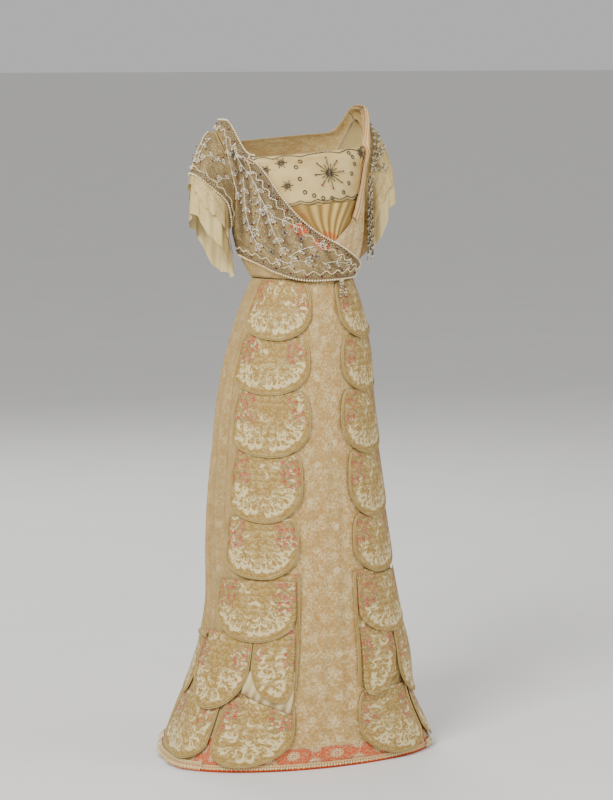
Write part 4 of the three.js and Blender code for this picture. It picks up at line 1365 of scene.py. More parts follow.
# ---- The skirt ----
@dataclass
class Skirt:
    """The lace overskirt in four gores, the coral underskirt's hem and the lace edging at its foot."""

    finishes: Finishes
    front_gore: float = 48
    side_gore: float = 128
    rise: float = 98
    seam_gap: float = 0.12
    lace_out: float = 0.9
    satin_out: float = -1.0
    thick: float = 0.7
    creases: list[dict[str, float]] = field(default_factory=lambda: rows(
        "turn lean width depth top bottom",
        (-88, 2, 2.0, 2.0, -360, -1250),
        (-99, -5, 2.2, 2.4, -350, -1100),
        (-115, 4, 2.4, 2.6, -400, -1300),
        (88, 2, 2.2, 2.0, -360, -1250),
        (102, -4, 2.4, 2.4, -380, -1200),
        (150, 3, 2.2, 3.2, -360, -1300),
        (166, -3, 2.2, 3.4, -350, -1310),
        (180, 2, 2.4, 3.6, -360, -1310),
        (194, -2, 2.2, 3.4, -350, -1310),
        (209, 3, 2.2, 3.2, -360, -1300),
        (-7, 2, 3.2, 1.6, -420, -1290),
        (5, -3, 2.6, 1.2, -560, -1300),
        (12, 1, 3.0, 1.8, -700, -1320),
        (-15, -1, 3.4, 1.4, -640, -1310),
        (0, 4, 2.2, 1.4, -880, -1326),
        (-83, 6, 3.0, 2.6, -380, -900),
        (-92, -4, 3.4, 3.4, -420, -1280),
        (-108, 3, 3.2, 3.0, -520, -1310),
        (-121, -5, 3.6, 3.4, -600, -1320),
        (81, -5, 3.0, 2.4, -380, -860),
        (95, 4, 3.4, 3.2, -430, -1290),
        (110, -3, 3.6, 3.0, -560, -1320),
        (122, 4, 3.2, 2.8, -700, -1320),
        (143, -3, 3.0, 4.0, -480, -1322),
        (158, 2, 2.6, 4.5, -520, -1322),
        (173, -2, 2.8, 4.5, -450, -1322),
        (187, 3, 2.6, 4.2, -520, -1322),
        (201, -3, 3.0, 4.6, -470, -1322),
        (217, 4, 3.2, 3.8, -560, -1322),
    ))

    def trough(self, turn: Grid, height: Grid) -> Grid:
        """Give how deep the soft creases lie at each place."""
        total = np.zeros(np.broadcast(turn, height).shape)
        for crease in self.creases:
            part = (crease["top"] - height) / (crease["top"] - crease["bottom"])
            away = np.abs(wrapped(wrapped(turn) - wrapped(crease["turn"] + crease["lean"] * part)))
            long = smooth(part, 0, 0.25) * (1 - smooth(part, 0.88, 1.0))
            deep = crease["depth"] * (1.9 if abs(crease["turn"]) > 60 else 1.2)
            ridge = 0.45 * np.exp(-(((away - 2.1 * crease["width"]) / crease["width"]) ** 2))
            total = total + deep * long * (np.exp(-((away / crease["width"]) ** 2)) - ridge)
        return total

    def gore(self, name: str, start: float, end: float, columns: int, finish: bpy.types.Material) -> None:
        """Build one gore.

        Args:
            name: its node's name.
            start: the turn of its first seam.
            end: the turn of its other seam.
            columns: how many columns it has.
            finish: its lace.
        """
        turn, height = mesh_grid((start + self.seam_gap, end - self.seam_gap, columns),
                                 (FLOOR + HEM_SHOWS, WAIST, 140))
        middle = (start + end) / 2
        reach = np.linalg.norm(FORM.skirt(np.full_like(height, middle), height)[..., :2], axis=-1)
        flat = np.stack([(turn - middle) * DEGREE * reach * UNIT, height * UNIT], -1)
        near = self.lace_out - self.trough(turn, height)
        sheet = Sheet(FORM.skirt, turn, height, near, {"cloth": flat}, self.thick)
        made = sheet.piece(name + "_lace", finish, "lace")
        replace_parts(made, name)
        sheet.declare()

    def underskirt(self) -> None:
        """Build the coral satin hem that shows under the lace."""
        turn, height = mesh_grid((-180, 180, 181), (FLOOR + 0.4, FLOOR + self.rise, 12), True)
        wider = np.concatenate([turn, turn[:1] + 360])
        flat = np.stack([wider * DEGREE * 0.22, np.concatenate([height, height[:1]]) * UNIT], -1)
        near = self.satin_out - self.trough(turn, height)
        sheet = Sheet(FORM.skirt, turn, height, near, {"cloth": flat}, self.thick, True)
        made = sheet.piece("coral_underskirt", self.finishes.coral, "coral_satin")
        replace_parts(made, "underskirt_hem")
        sheet.declare()

    def ruffle(self) -> None:
        """Build the lace edging: gathered round the sides and the train, and flat along the front."""
        for name, start, end, swing, top, low in (
            ("hem_ruffle", 62, 298, 1.0, 20, 1.5),
            ("front_edging", -63.5, 63.5, 0.0, 15, 4.5),
        ):
            turn, part = mesh_grid((start, end, 640), (0, 1, 9))
            loose = np.clip(np.minimum(turn - start, end - turn) / 14, 0, 1) * swing
            wave = np.cos((turn - 62) * DEGREE * 16 * 360 / 236) + 0.4 * np.cos(turn * 1.9)
            height = FLOOR + top - (top - low) * part + 0.9 * np.sin(turn * 2.6) * part
            near = 1.7 + (FIRST_LAYER - 1.0) * swing + loose * part * (4.5 + 2.2 * wave) + 0.5 * wave * part
            flat = np.stack([turn * DEGREE * 0.3, -part * 0.0105], -1)
            sheet = Sheet(FORM.skirt, turn, height, near, {"cloth": flat})
            made = sheet.piece(name + "_lace", self.finishes.edging, "lace")
            if swing:
                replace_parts(made, name)
                sheet.declare()
            else:
                sheet.declare()

    def satin_fold(self) -> None:
        """Build the turned-back satin between two petals above the front hem."""
        first, top = -49, -1128
        turn, v = mesh_grid((first, -19, 60), (0, 1, 26))
        run, arch = turn - first, np.sin(math.pi * v)
        height = top + (-1174 - run * 1.45 - top) * v
        soft = arch**0.7 * (2.2 + 2.0 * np.sin(run * 0.30 + v * 8) * smooth(turn, first, -40))
        pucker = 0.5 + 0.5 * np.sin(run * 1.1 + v * 6.0 + 1.2 * np.sin(turn * 0.31))
        # Painted shade for the cream satin: darker towards its top and bottom edges and in the puckers, more
        # so lower down, carried in the rim map's first channel.
        shade = np.clip(0.8 * (1 - arch**0.5) + 0.75 * pucker * v, 0, 1)
        maps = {"cloth": np.stack([turn * DEGREE * 0.18, height * UNIT], -1),
                "rim": np.stack([shade, 0 * shade], -1)}
        near = 5.9 + soft + 1.2 * (1 - pucker) * arch
        sheet = Sheet(FORM.skirt, turn, height, near, maps, 0.6)
        made = sheet.piece("satin_fold", self.finishes.cream_satin, "figured_silk")
        sheet.declare()

    def curl(self) -> None:
        """Build the small rolled corner of lace above the right side petal."""
        turn, wrap = mesh_grid((-103, -88, 14), (0, 1, 40))
        height = 0 * turn - 1069.0
        angle, radius = wrap * 2 * math.pi * 1.35 - 0.6, 8.5 - 3.2 * wrap
        out = FORM.normal(FORM.skirt, turn, height)
        facing = out * np.cos(angle)[..., None] + np.stack([0 * wrap, 0 * wrap, np.sin(angle)], -1)
        flat = np.stack([turn * DEGREE * 0.2, wrap * 0.05], -1)
        sheet = Sheet(FORM.skirt, turn, height, 6.0, {"cloth": flat}, 0.6)
        sheet.points = sheet.points + facing * radius[..., None]
        sheet.out = facing
        made = sheet.piece("rolled_lace", self.finishes.side_lace, "lace")
        sheet.declare()

    def build(self) -> None:
        """Build the skirt's pieces."""
        side, front = self.finishes.side_lace, self.finishes.front_lace
        self.gore("skirt_front", -self.front_gore, self.front_gore, 84, front)
        self.gore("skirt_side_left", self.front_gore, self.side_gore, 84, side)
        self.gore("skirt_back", self.side_gore, 360 - self.side_gore, 112, side)
        self.gore("skirt_side_right", 360 - self.side_gore, 360 - self.front_gore, 84, side)
        self.underskirt()
        self.ruffle()
        self.satin_fold()
        self.curl()


PETALS = rows(
    "name top bottom inner outer tip inner_round outer_round under rise",
    ("scallop_1", -334, -452, 13.3, 75, 0.45, 0.5, 0.7, 0, 1),
    ("scallop_2", -444, -562, 13.3, 75.5, 0.45, 0.5, 0.7, -0.3, 1),
    ("scallop_3", -554, -688, 11.7, 70.4, 0.45, 0.5, 0.7, 0.08, 1),
    ("scallop_4", -678, -822, 16.4, 68.3, 0.45, 0.5, 0.7, 0, 1),
    ("scallop_5", -812, -938, 18.4, 70.7, 0.45, 0.5, 0.7, 0, 1),
    ("long_panel", -928, -1176, 17.6, 50, 0.5, 0.94, 0.94, 0, 0),
    ("scallop_6", -942, -1068, 19.9, 79, 0.45, 0.55, 0.45, 0.96, 1),
    ("scallop_7", -1050, -1192, 19.9, 46, 0.2, 0.75, 0.35, 0.95, 1),
    ("side_petal_upper", -1054, -1212, 47, 96, 0.5, 0.45, 0.45, 1, 1),
    ("side_petal_back", -1075, -1200, 97, 126, 0.3, 0.4, 0.5, 0.05, 1),
    ("hem_petal_front", -1182, -1324, 16.6, 59, 0.6, 0.55, 0.7, 0, 1),
    ("hem_petal_side", -1188, -1315, 62, 112, 0.4, 0.7, 0.6, 0.14, 1),
)


@dataclass
class Petal:
    """One figured-silk petal with its piped rim."""

    finishes: Finishes
    row: dict[str, float]
    side: int

    def place(self, u: Grid, v: Grid) -> tuple[Grid, Grid]:
        """Give the turn and height of each place on the petal, from edge to edge and from top to tip."""
        row = self.row
        inner = row["tip"] * self.rounding(row["inner_round"], v)
        outer = 1 - (1 - row["tip"]) * self.rounding(row["outer_round"], v)
        if row["rise"]:
            head = 1 - np.sqrt(np.maximum(0, 1 - (1 - np.clip(v / 0.42, 0, 1)) ** 2))
            inner, outer = inner + head * (0.11 if row["inner"] < 19.5 else 0.0), outer - head * 0.06
        width = row["outer"] - row["inner"]
        turn = self.side * (row["inner"] + width * (inner + (outer - inner) * u))
        return turn, row["top"] + (row["bottom"] - row["top"]) * v

    @staticmethod
    def rounding(start: float, v: Grid) -> Grid:
        """Give how far an edge has curved in at v."""
        part = np.clip((v - start) / (1 - start), 0, 1)
        return 1 - np.sqrt(np.maximum(0, 1 - part * part))

    def near(self, height: Grid) -> Grid:
        """Give how far the petal's inner face stands from the skirt at a height."""
        row = self.row
        v = np.clip((height - row["top"]) / (row["bottom"] - row["top"]), 0, 1)
        return FIRST_LAYER - 0.75 * (1 - v) ** 4 + LAYER_STEP * (row["under"] + row["rise"] * v)

    def flat(self, turn: Grid, height: Grid) -> Grid:
        """Give flat places in millimetres from the petal's middle."""
        row = self.row
        middle = self.side * (row["inner"] + row["outer"]) / 2
        x = (turn - middle) * DEGREE * 163
        return np.stack(np.broadcast_arrays(x, height - (row["top"] + row["bottom"]) / 2), -1)

    def rim(self, inset: float, count: int = 150) -> Track:
        """Give the line that runs down one edge, round the tip and up the other.

        Args:
            inset: how far inside the edge it lies, in millimetres.
            count: how many points it has.

        Returns:
            The line.
        """
        half = crowd(count // 2, 2.6)
        u = np.concatenate([np.zeros(len(half)), np.ones(len(half))])
        v = np.concatenate([half, half[::-1]])
        turn, height = self.place(u, v)
        line = Track(FORM.skirt, turn, height).spaced(2.2)
        return line.shifted(inset * self.side) if inset else line

    def piping(self, stock: Stock) -> None:
        """Sew the thin cords round the petal, and leave out those that the long panel's own cords replace."""
        panel, tucked = self.row["name"] == "long_panel", 19.5 < self.row["inner"] < 20
        if tucked and self.side > 0:
            return
        cords = [(0.4, 1.25, 1.2), (3.2, 1.05, 1.6)] + ([(6.0, 1.05, 1.6)] if panel else [])
        for inset, radius, lift in cords:
            line = self.rim(inset)
            start = 2
            if tucked:
                top, bottom = self.row["top"], self.row["bottom"]
                start = int(np.argmax(line.v < top + 0.72 * (bottom - top)))
            line = Track(FORM.skirt, line.u[start:-2], line.v[start:-2])
            tube(stock, line.points(self.near(line.v) + lift), line.out(), radius, 1, 5)

    def build(self) -> None:
        """Build the petal and its piping."""
        name = f"{self.row['name']}_{'left' if self.side > 0 else 'right'}"
        u, v = np.broadcast_arrays(np.linspace(0, 1, 35)[:, None], (crowd(44, 1.7) * 0.9985)[None])
        turn, height = self.place(u, v)
        puff = 1.5 * np.sin(math.pi * u) ** 0.8 * np.sin(math.pi * v) ** 1.2
        ripple = 0.35 * np.sin(turn * 0.5 + height * 0.035) * np.sin(math.pi * u)
        flat, rim = self.flat(turn, height), self.rim(0)
        edge = self.flat(rim.u, rim.v)
        gap = np.linalg.norm(flat[:, :, None] - edge[None, None], axis=-1)
        deep = np.stack([lengths(edge)[gap.argmin(-1)], gap.min(-1)], -1)
        shift = np.array([0.137 * len(name) + 0.061 * self.side, 0.213 * ord(name[-7])])
        maps = {"cloth": flat * UNIT + shift, "rim": deep * UNIT + [0.071 * len(name), 0],
                "petal": np.stack([u, v], -1)}
        sheet = Sheet(FORM.skirt, turn, height, self.near(height) + 0.9 + puff + ripple, maps, 0.8)
        stock = Stock()
        sheet.lay(stock)
        self.piping(stock)
        made = stock.piece(name + "_silk", [self.finishes.brocade, self.finishes.piping], "figured_silk")
        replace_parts(made, name)
        sheet.declare()


def neck_line() -> Track:
    """Give the right drape's front edge, from the shoulder along the neck to its crossing."""
    level = np.linspace(0.982, 0.012, 260)
    turn = DRAPE_EDGE["right"](level) - 0.6
    top = np.linspace(-96, turn[0], 60)[:-1]
    line = Track(FORM.bodice, np.concatenate([top, turn]), np.concatenate([0 * top + level[0], level]))
    return Track(FORM.bodice, line.u, line.v + RISE(line.u) * (1 - smooth(line.v, 0, 0.25)))


def lower_line() -> Track:
    """Give the right drape's lower edge, from the crossing round to the side."""
    turn = np.linspace(63, -103, 240)
    return Track(FORM.bodice, turn, 0.010 + RISE(turn))


def back_lines() -> list[Track]:
    """Give the lower and inner edges of the right drape's back."""
    turn = np.linspace(-105, -203, 120)
    low = Track(FORM.bodice, turn, 0.010 + RISE(turn))
    level = np.linspace(0.985, 0.012, 200)
    edge = -DRAPE_EDGE["back"](level)
    return [low, Track(FORM.bodice, edge + 0.6, level + RISE(edge) * (1 - smooth(level, 0, 0.25)))]


def right_front_near(turn: Grid, level: Grid) -> Grid:
    """Give how far the right drape's front stands out, more where it crosses others."""
    over = smooth(turn, -60, -46) + smooth(turn, -46, -30) * (1 - smooth(level, 0.3, 0.4))
    return FIRST_LAYER + LAYER_STEP * over


def right_back_near(turn: Grid, level: Grid) -> Grid:
    """Give how far the right drape's back stands out, more where it meets the left one."""
    return FIRST_LAYER + LAYER_STEP * (1 - smooth(turn, -160, -136)) + 0 * level


def left_front_near(turn: Grid, level: Grid) -> Grid:
    """Give how far the left drape's front stands out."""
    return SECOND_LAYER - 0.6 * smooth(level, 0.35, 0.5) - LAYER_STEP * smooth(turn, 58, 72)


def first_near(turn: Grid, level: Grid) -> Grid:
    """Give the first layer's distance everywhere."""
    return FIRST_LAYER + 0 * turn


# ---- The bodice ----
DRAPE_FOOT = 0.0055


@dataclass
class Bodice:
    """The lace foundation, the yoke, the gathers and the two crossed drapes."""

    finishes: Finishes
    girth: float = 0.125
    rise: float = 330.0
    cloth_out: float = 0.7
    deepest: float = 2.2
    pleats: list[dict[str, float]] = field(default_factory=lambda: rows(
        "turn level turn2 level2 width depth",
        (-66, 0.98, -80, 0.2, 3.2, 2.6),
        (-58, 0.95, -66, 0.22, 3.0, 2.2),
        (-50, 0.9, -48, 0.2, 3.4, 1.6),
        (-46, 0.7, -30, 0.14, 3.2, 1.6),
        (-40, 0.55, -12, 0.1, 3.0, 1.5),
        (-30, 0.45, 14, 0.06, 2.6, 1.6),
        (60, 0.9, 30, 0.12, 3.0, 2.2),
        (66, 0.85, 44, 0.1, 3.2, 2.4),
        (54, 0.6, 20, 0.14, 2.6, 2.0),
        (72, 0.7, 60, 0.08, 3.4, 2.2),
        (140, 0.9, 165, 0.1, 3.6, 2.4),
        (150, 0.85, 180, 0.06, 3.4, 2.2),
        (-140, 0.9, -165, 0.1, 3.6, 2.4),
        (-150, 0.85, -180, 0.06, 3.4, 2.2),
        (128, 0.6, 140, 0.05, 3.4, 2.0),
        (-128, 0.6, -140, 0.12, 3.4, 2.0),
    ))

    def fold(self, turn: Grid, level: Grid) -> Grid:
        """Give how deep the drapes' soft pleats lie at each place."""
        total = np.zeros(np.broadcast(turn, level).shape)
        for row in self.pleats:
            part = (row["level"] - level) / (row["level"] - row["level2"])
            centre = row["turn"] + (row["turn2"] - row["turn"]) * part
            away = wrapped(turn - centre)
            long = smooth(part, -0.05, 0.2) * (1 - smooth(part, 0.85, 1.05))
            total = total + row["depth"] * long * np.exp(-((away / row["width"]) ** 2))
        return total

    def sheet(self, name: str, place: Place, near: Lift, size: tuple[int, int], finish: bpy.types.Material,
              slot: str, held: str, rests_on: str, thick: float = 0.0, deep: float = 0.0,
              edges: Sequence[Track] = ()) -> None:
        """Lay one piece of the bodice.

        Args:
            name: its node's name.
            place: its turn and level for each place from side to side and from low to high.
            near: how far its inner face stands from the bodice.
            size: its columns and rows.
            finish: its cloth.
            slot: not used.
            held: how it is held.
            rests_on: not used.
            thick: how thick it is, or 0 for a single face.
            deep: how much of the soft pleats it takes.
            edges: the lines that its border follows.
        """
        turn, level = place(*mesh_grid((0, 1, size[0]), (0, 1, size[1])))
        fold = np.minimum(self.fold(turn, level), self.deepest)
        away = near(turn, level) + self.cloth_out - deep * fold
        middle = turn[len(turn) // 2][None]
        run = (turn - middle + middle.mean()) * DEGREE * self.girth
        flat = np.stack([run, level * self.rise * UNIT], -1)
        sheet = Sheet(FORM.bodice, turn, level, away, {"cloth": flat}, thick)
        if held == "gathered":
            # Painted shade for the gathers: the rim map's first channel is 1 where the cloth lies lowest, in
            # the pleats' valleys.
            sheet.maps["rim"] = np.stack([1 - (away - away.min()) / np.ptp(away), 0 * away], -1)
        if edges:
            rim = np.concatenate([edge.points(0.0) for edge in edges])
            # The rim map's first channel carries half the pleat depth, for painted shade in the net's folds;
            # the second, the distance from the border.
            sheet.maps["rim"] = np.stack([fold * 0.5, gap_to(sheet.points, rim)], -1)
        made = sheet.piece(name + "_cloth", finish, slot)
        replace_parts(made, name)
        sheet.declare()

    @staticmethod
    def across(low: Edge, high: Edge, foot: float = DRAPE_FOOT, rises: bool = False) -> Place:
        """Give the place between two edges that each depend on the level.

        Args:
            low: the turn of the first edge at each level.
            high: the turn of the other edge.
            foot: the lowest level.
            rises: whether the foot follows the right drape's lower edge.

        Returns:
            The place for each share of the way across and up.
        """
        def place(u: Grid, v: Grid) -> tuple[Grid, Grid]:
            """Give the turn and level."""
            level = foot + (1 - foot) * v
            turn = low(level) + (high(level) - low(level)) * u
            return turn, level + RISE(turn) * (1 - smooth(level, 0, 0.25)) if rises else level

        return place

    def foundation(self) -> None:
        """Build the front and back of the foundation."""
        hole, lace = FORM.armhole, self.finishes.bodice_lace
        front = self.across(lambda v: -hole.edge(v, 1), lambda v: hole.edge(v, 1))
        back = self.across(lambda v: hole.edge(v, -1), lambda v: 360 - hole.edge(v, -1))
        for name, place, columns, rests_on in (
            ("bodice_front", front, 96, "skirt_front_lace"),
            ("bodice_back", back, 90, "bodice_front_cloth"),
        ):
            self.sheet(name, place, lambda turn, level: 0 * turn, (columns, 60), lace, "lace", "hung",
                       rests_on, 0.7)

    def yoke(self) -> None:
        """Build the beaded yoke with its scalloped edges and the gathers below it."""
        def place(u: Grid, v: Grid) -> tuple[Grid, Grid]:
            """Give the turn and level inside the yoke's scalloped edges."""
            wave = 0.012 * np.abs(np.sin(math.pi * 7 * u))
            return -46 + 101 * u, (0.44 - wave) + (0.545 + 2 * wave) * v

        def gathers(u: Grid, v: Grid) -> tuple[Grid, Grid]:
            """Give the turn and level inside the fan of gathers."""
            right, left = -3 - 31 * v, 17 + 33 * v
            return right + (left - right) * u, 0.2 + 0.22 * v

        def pleated(turn: Grid, level: Grid) -> Grid:
            """Give how far the gathers' pleats stand out."""
            part = (level - 0.2) / 0.22
            u = (turn + 3 + 31 * part) / (20 + 64 * part)
            pleat = 0.5 - 0.5 * np.cos(2 * math.pi * 8 * u + 1.2 * np.sin(part * 4))
            return FIRST_LAYER + 3.0 * pleat * smooth(np.minimum(u, 1 - u), 0.1, 0.4)

        self.sheet("yoke", place, first_near, (90, 26), self.finishes.silk, "beaded_net", "laid",
                   "bodice_front_cloth", 0.6)
        self.sheet("centre_gathers", gathers, pleated, (150, 20), self.finishes.pleated, "chiffon",
                   "gathered", "bodice_front_cloth", 0.6)

    def drapes(self) -> None:
        """Build the crossed drapes, the beaded right one over the lace left one."""
        net, back_net, lace = self.finishes.net, self.finishes.cap_net, self.finishes.drape_lace
        front_hole, back_hole = (partial(FORM.armhole.edge, sense=sense, clear=True) for sense in (1, -1))
        front = self.across(lambda v: -front_hole(v), DRAPE_EDGE["right"], rises=True)
        back = self.across(lambda v: -DRAPE_EDGE["back"](v), lambda v: -back_hole(v), rises=True)
        self.sheet("drape_front_right", front, right_front_near, (130, 100), net, "beaded_net", "draped",
                   "bodice_front_cloth", 0, 0.9, [neck_line(), lower_line()])
        self.sheet("drape_back_right", back, right_back_near, (80, 70), back_net, "beaded_net", "draped",
                   "bodice_back_cloth", 0, 0.9, back_lines())
        front = self.across(DRAPE_EDGE["left"], front_hole, 0.04)
        back = self.across(back_hole, DRAPE_EDGE["back"], 0.04)
        self.sheet("drape_front_left", front, left_front_near, (72, 64), lace, "lace", "draped",
                   "bodice_front_cloth", 0.6, 0.9)
        self.sheet("drape_back_left", back, first_near, (72, 64), lace, "lace", "draped",
                   "bodice_back_cloth", 0.6, 0.9)

    def neck_band(self) -> None:
        """Build the folded silk band along the left drape's edge."""
        def place(u: Grid, v: Grid) -> tuple[Grid, Grid]:
            """Give the turn and level across the band and along it."""
            along, u = 0.97 * v, u * 1.3
            turn = BAND["turn"](along) + (BAND["wideTurn"](along) - BAND["turn"](along)) * u
            return turn, BAND["level"](along) + (BAND["wideLevel"](along) - BAND["level"](along)) * u

        def folded(turn: Grid, level: Grid) -> Grid:
            """Give the band's two soft ridges."""
            u = np.linspace(0, 1, turn.shape[0])[:, None] + 0 * turn
            return THIRD_LAYER - 0.2 + 1.6 * np.sin(math.pi * u * 2) ** 2

        self.sheet("neck_band_left", place, folded, (26, 110), self.finishes.band, "chiffon", "folded",
                   "drape_front_left_cloth", 0.6)
        stock = Stock()
        for u, radius in ((0.03, 0.9), (0.52, 0.8), (0.97, 0.9)):
            line = Track(FORM.bodice, *place(np.full(140, u), np.linspace(0.01, 0.99, 140)))
            tube(stock, line.points(THIRD_LAYER + 0.8), line.out(), radius)
        stock.piece("neck_band_cords", [self.finishes.pink], "chiffon")

    def build(self) -> None:
        """Build the bodice's pieces."""
        self.foundation()
        self.yoke()
        self.drapes()
        self.neck_band()


@dataclass
class Sleeves:
    """The sheer sleeves and the caps over them."""

    finishes: Finishes
    girth: float = 0.055
    length: float = 0.21
    cap_reach: float = 144

    def sleeve(self, name: str, side: int) -> None:
        """Build one sleeve.

        Args:
            name: left or right.
            side: 1 for the left and -1 for the right.
        """
        around, along = mesh_grid((-180, 180, 145), (0, 1, 70), True)
        soft, angle = smooth(along, 0.25, 1.0), around * DEGREE
        fold = 3.4 * np.sin(angle * 8 + 2.2 * along) + 2.2 * np.sin(angle * 13 - 3 * along + side)
        wider = np.concatenate([angle, angle[:1] + 2 * math.pi])
        maps = {"cloth": self.flat(wider, np.concatenate([along, along[:1]]))}
        near = 0.7 + soft * fold - 2.2 * soft
        sheet = Sheet(partial(FORM.sleeve, side), around, along, near, maps, closed=True)
        dip = smooth(along, 0.55, 1.0) * (6.5 * np.sin(angle * 4 + 0.8 * side) - 2.0)
        sheet.points = sheet.points - np.stack([0 * dip, 0 * dip, dip], -1)
        made = sheet.piece(f"sleeve_{name}_chiffon", self.finishes.chiffon, "chiffon")
        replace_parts(made, f"sleeve_{name}")
        sheet.declare()

    def flat(self, angle: Grid, along: Grid) -> Grid:
        """Give the flat places, in metres, of cloth that lies round an arm."""
        return np.stack([angle * self.girth, -along * self.length], -1)

    def frill(self, name: str, side: int) -> None:
        """Build the gathered upper layer of one sleeve.

        Args:
            name: left or right.
            side: 1 for the left and -1 for the right.
        """
        around, part = mesh_grid((-150, 150, 260), (0, 1, 30))
        angle = around * DEGREE
        low = 0.72 + 0.05 * np.sin(angle * 3 + side) + 0.012 * np.sin(angle * 23)
        along = 0.30 + (low - 0.30) * part
        wave = np.sin(angle * 15 + 1.5 * part) + 0.5 * np.sin(angle * 23 + side)
        near = 2.2 + part * (1.4 + 1.3 * wave)
        maps = {"cloth": self.flat(angle, along)}
        sheet = Sheet(partial(FORM.sleeve, side), side * around, along, near, maps)
        made = sheet.piece(f"sleeve_{name}_frill", self.finishes.cap_lace, "chiffon")
        sheet.declare()

    def cap(self, name: str, side: int) -> None:
        """Build the cap over one sleeve.

        Args:
            name: left or right.
            side: 1 for the left and -1 for the right.
        """
        surface = partial(FORM.sleeve, side)
        u, v = mesh_grid((0, 1, 110), (0, 1, 50))
        around = self.cap_reach * (2 * u - 1)
        wave = 0.008 * np.sin(math.pi * 24 * u) * smooth(v, 0.6, 1)
        along = 0.025 + (CAP_EDGE[name](around) - 0.025) * v + wave
        near = FIRST_LAYER + 0.7 + 0.5 * np.sin(around * 0.35) * smooth(v, 0.2, 1)
        maps = {"cloth": self.flat(side * around * DEGREE, along)}
        sheet = Sheet(surface, side * around, along, near, maps)
        rim = Track(surface, side * around[:, -1], along[:, -1]).points(0.0)
        # Painted shade in soft stripes across the cap, carried in the rim map's first channel; only the right
        # cap's net reads it.
        fold = 0.5 + 0.5 * np.sin(around * 0.22 + 2 * v)
        sheet.maps["rim"] = np.stack([fold * 0.35, gap_to(sheet.points, rim)], -1)
        finish = self.finishes.cap_net if side < 0 else self.finishes.cap_lace
        made = sheet.piece(f"cap_{name}_cloth", finish, "beaded_net" if side < 0 else "lace")
        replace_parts(made, f"cap_{name}")
        sheet.declare()

    def build(self) -> None:
        """Build both sleeves."""
        for name, side in (("right", -1), ("left", 1)):
            self.sleeve(name, side)
            self.frill(name, side)
            self.cap(name, side)


# ---- Bead work ----
def spot_at(surface: Surface, u: float, v: float) -> Track:
    """Give one place on a surface, as a line of one point."""
    return Track(surface, np.array([u]), np.array([v]))


def through(surface: Surface, stem: Sequence[tuple[float, float]], count: int) -> Track:
    """Give a line of this many points through a few places on a surface."""
    u, v = np.array(stem, float).T
    at, fine = np.linspace(0, 1, len(u)), np.linspace(0, 1, count)
    return Track(surface, np.interp(fine, at, u), np.interp(fine, at, v))


def compass(out: Grid) -> tuple[Grid, Grid]:
    """Give the level way and the rising way along a surface with this normal."""
    east = unit(np.cross([0, 0, 1], out))
    return east, np.cross(out, east)


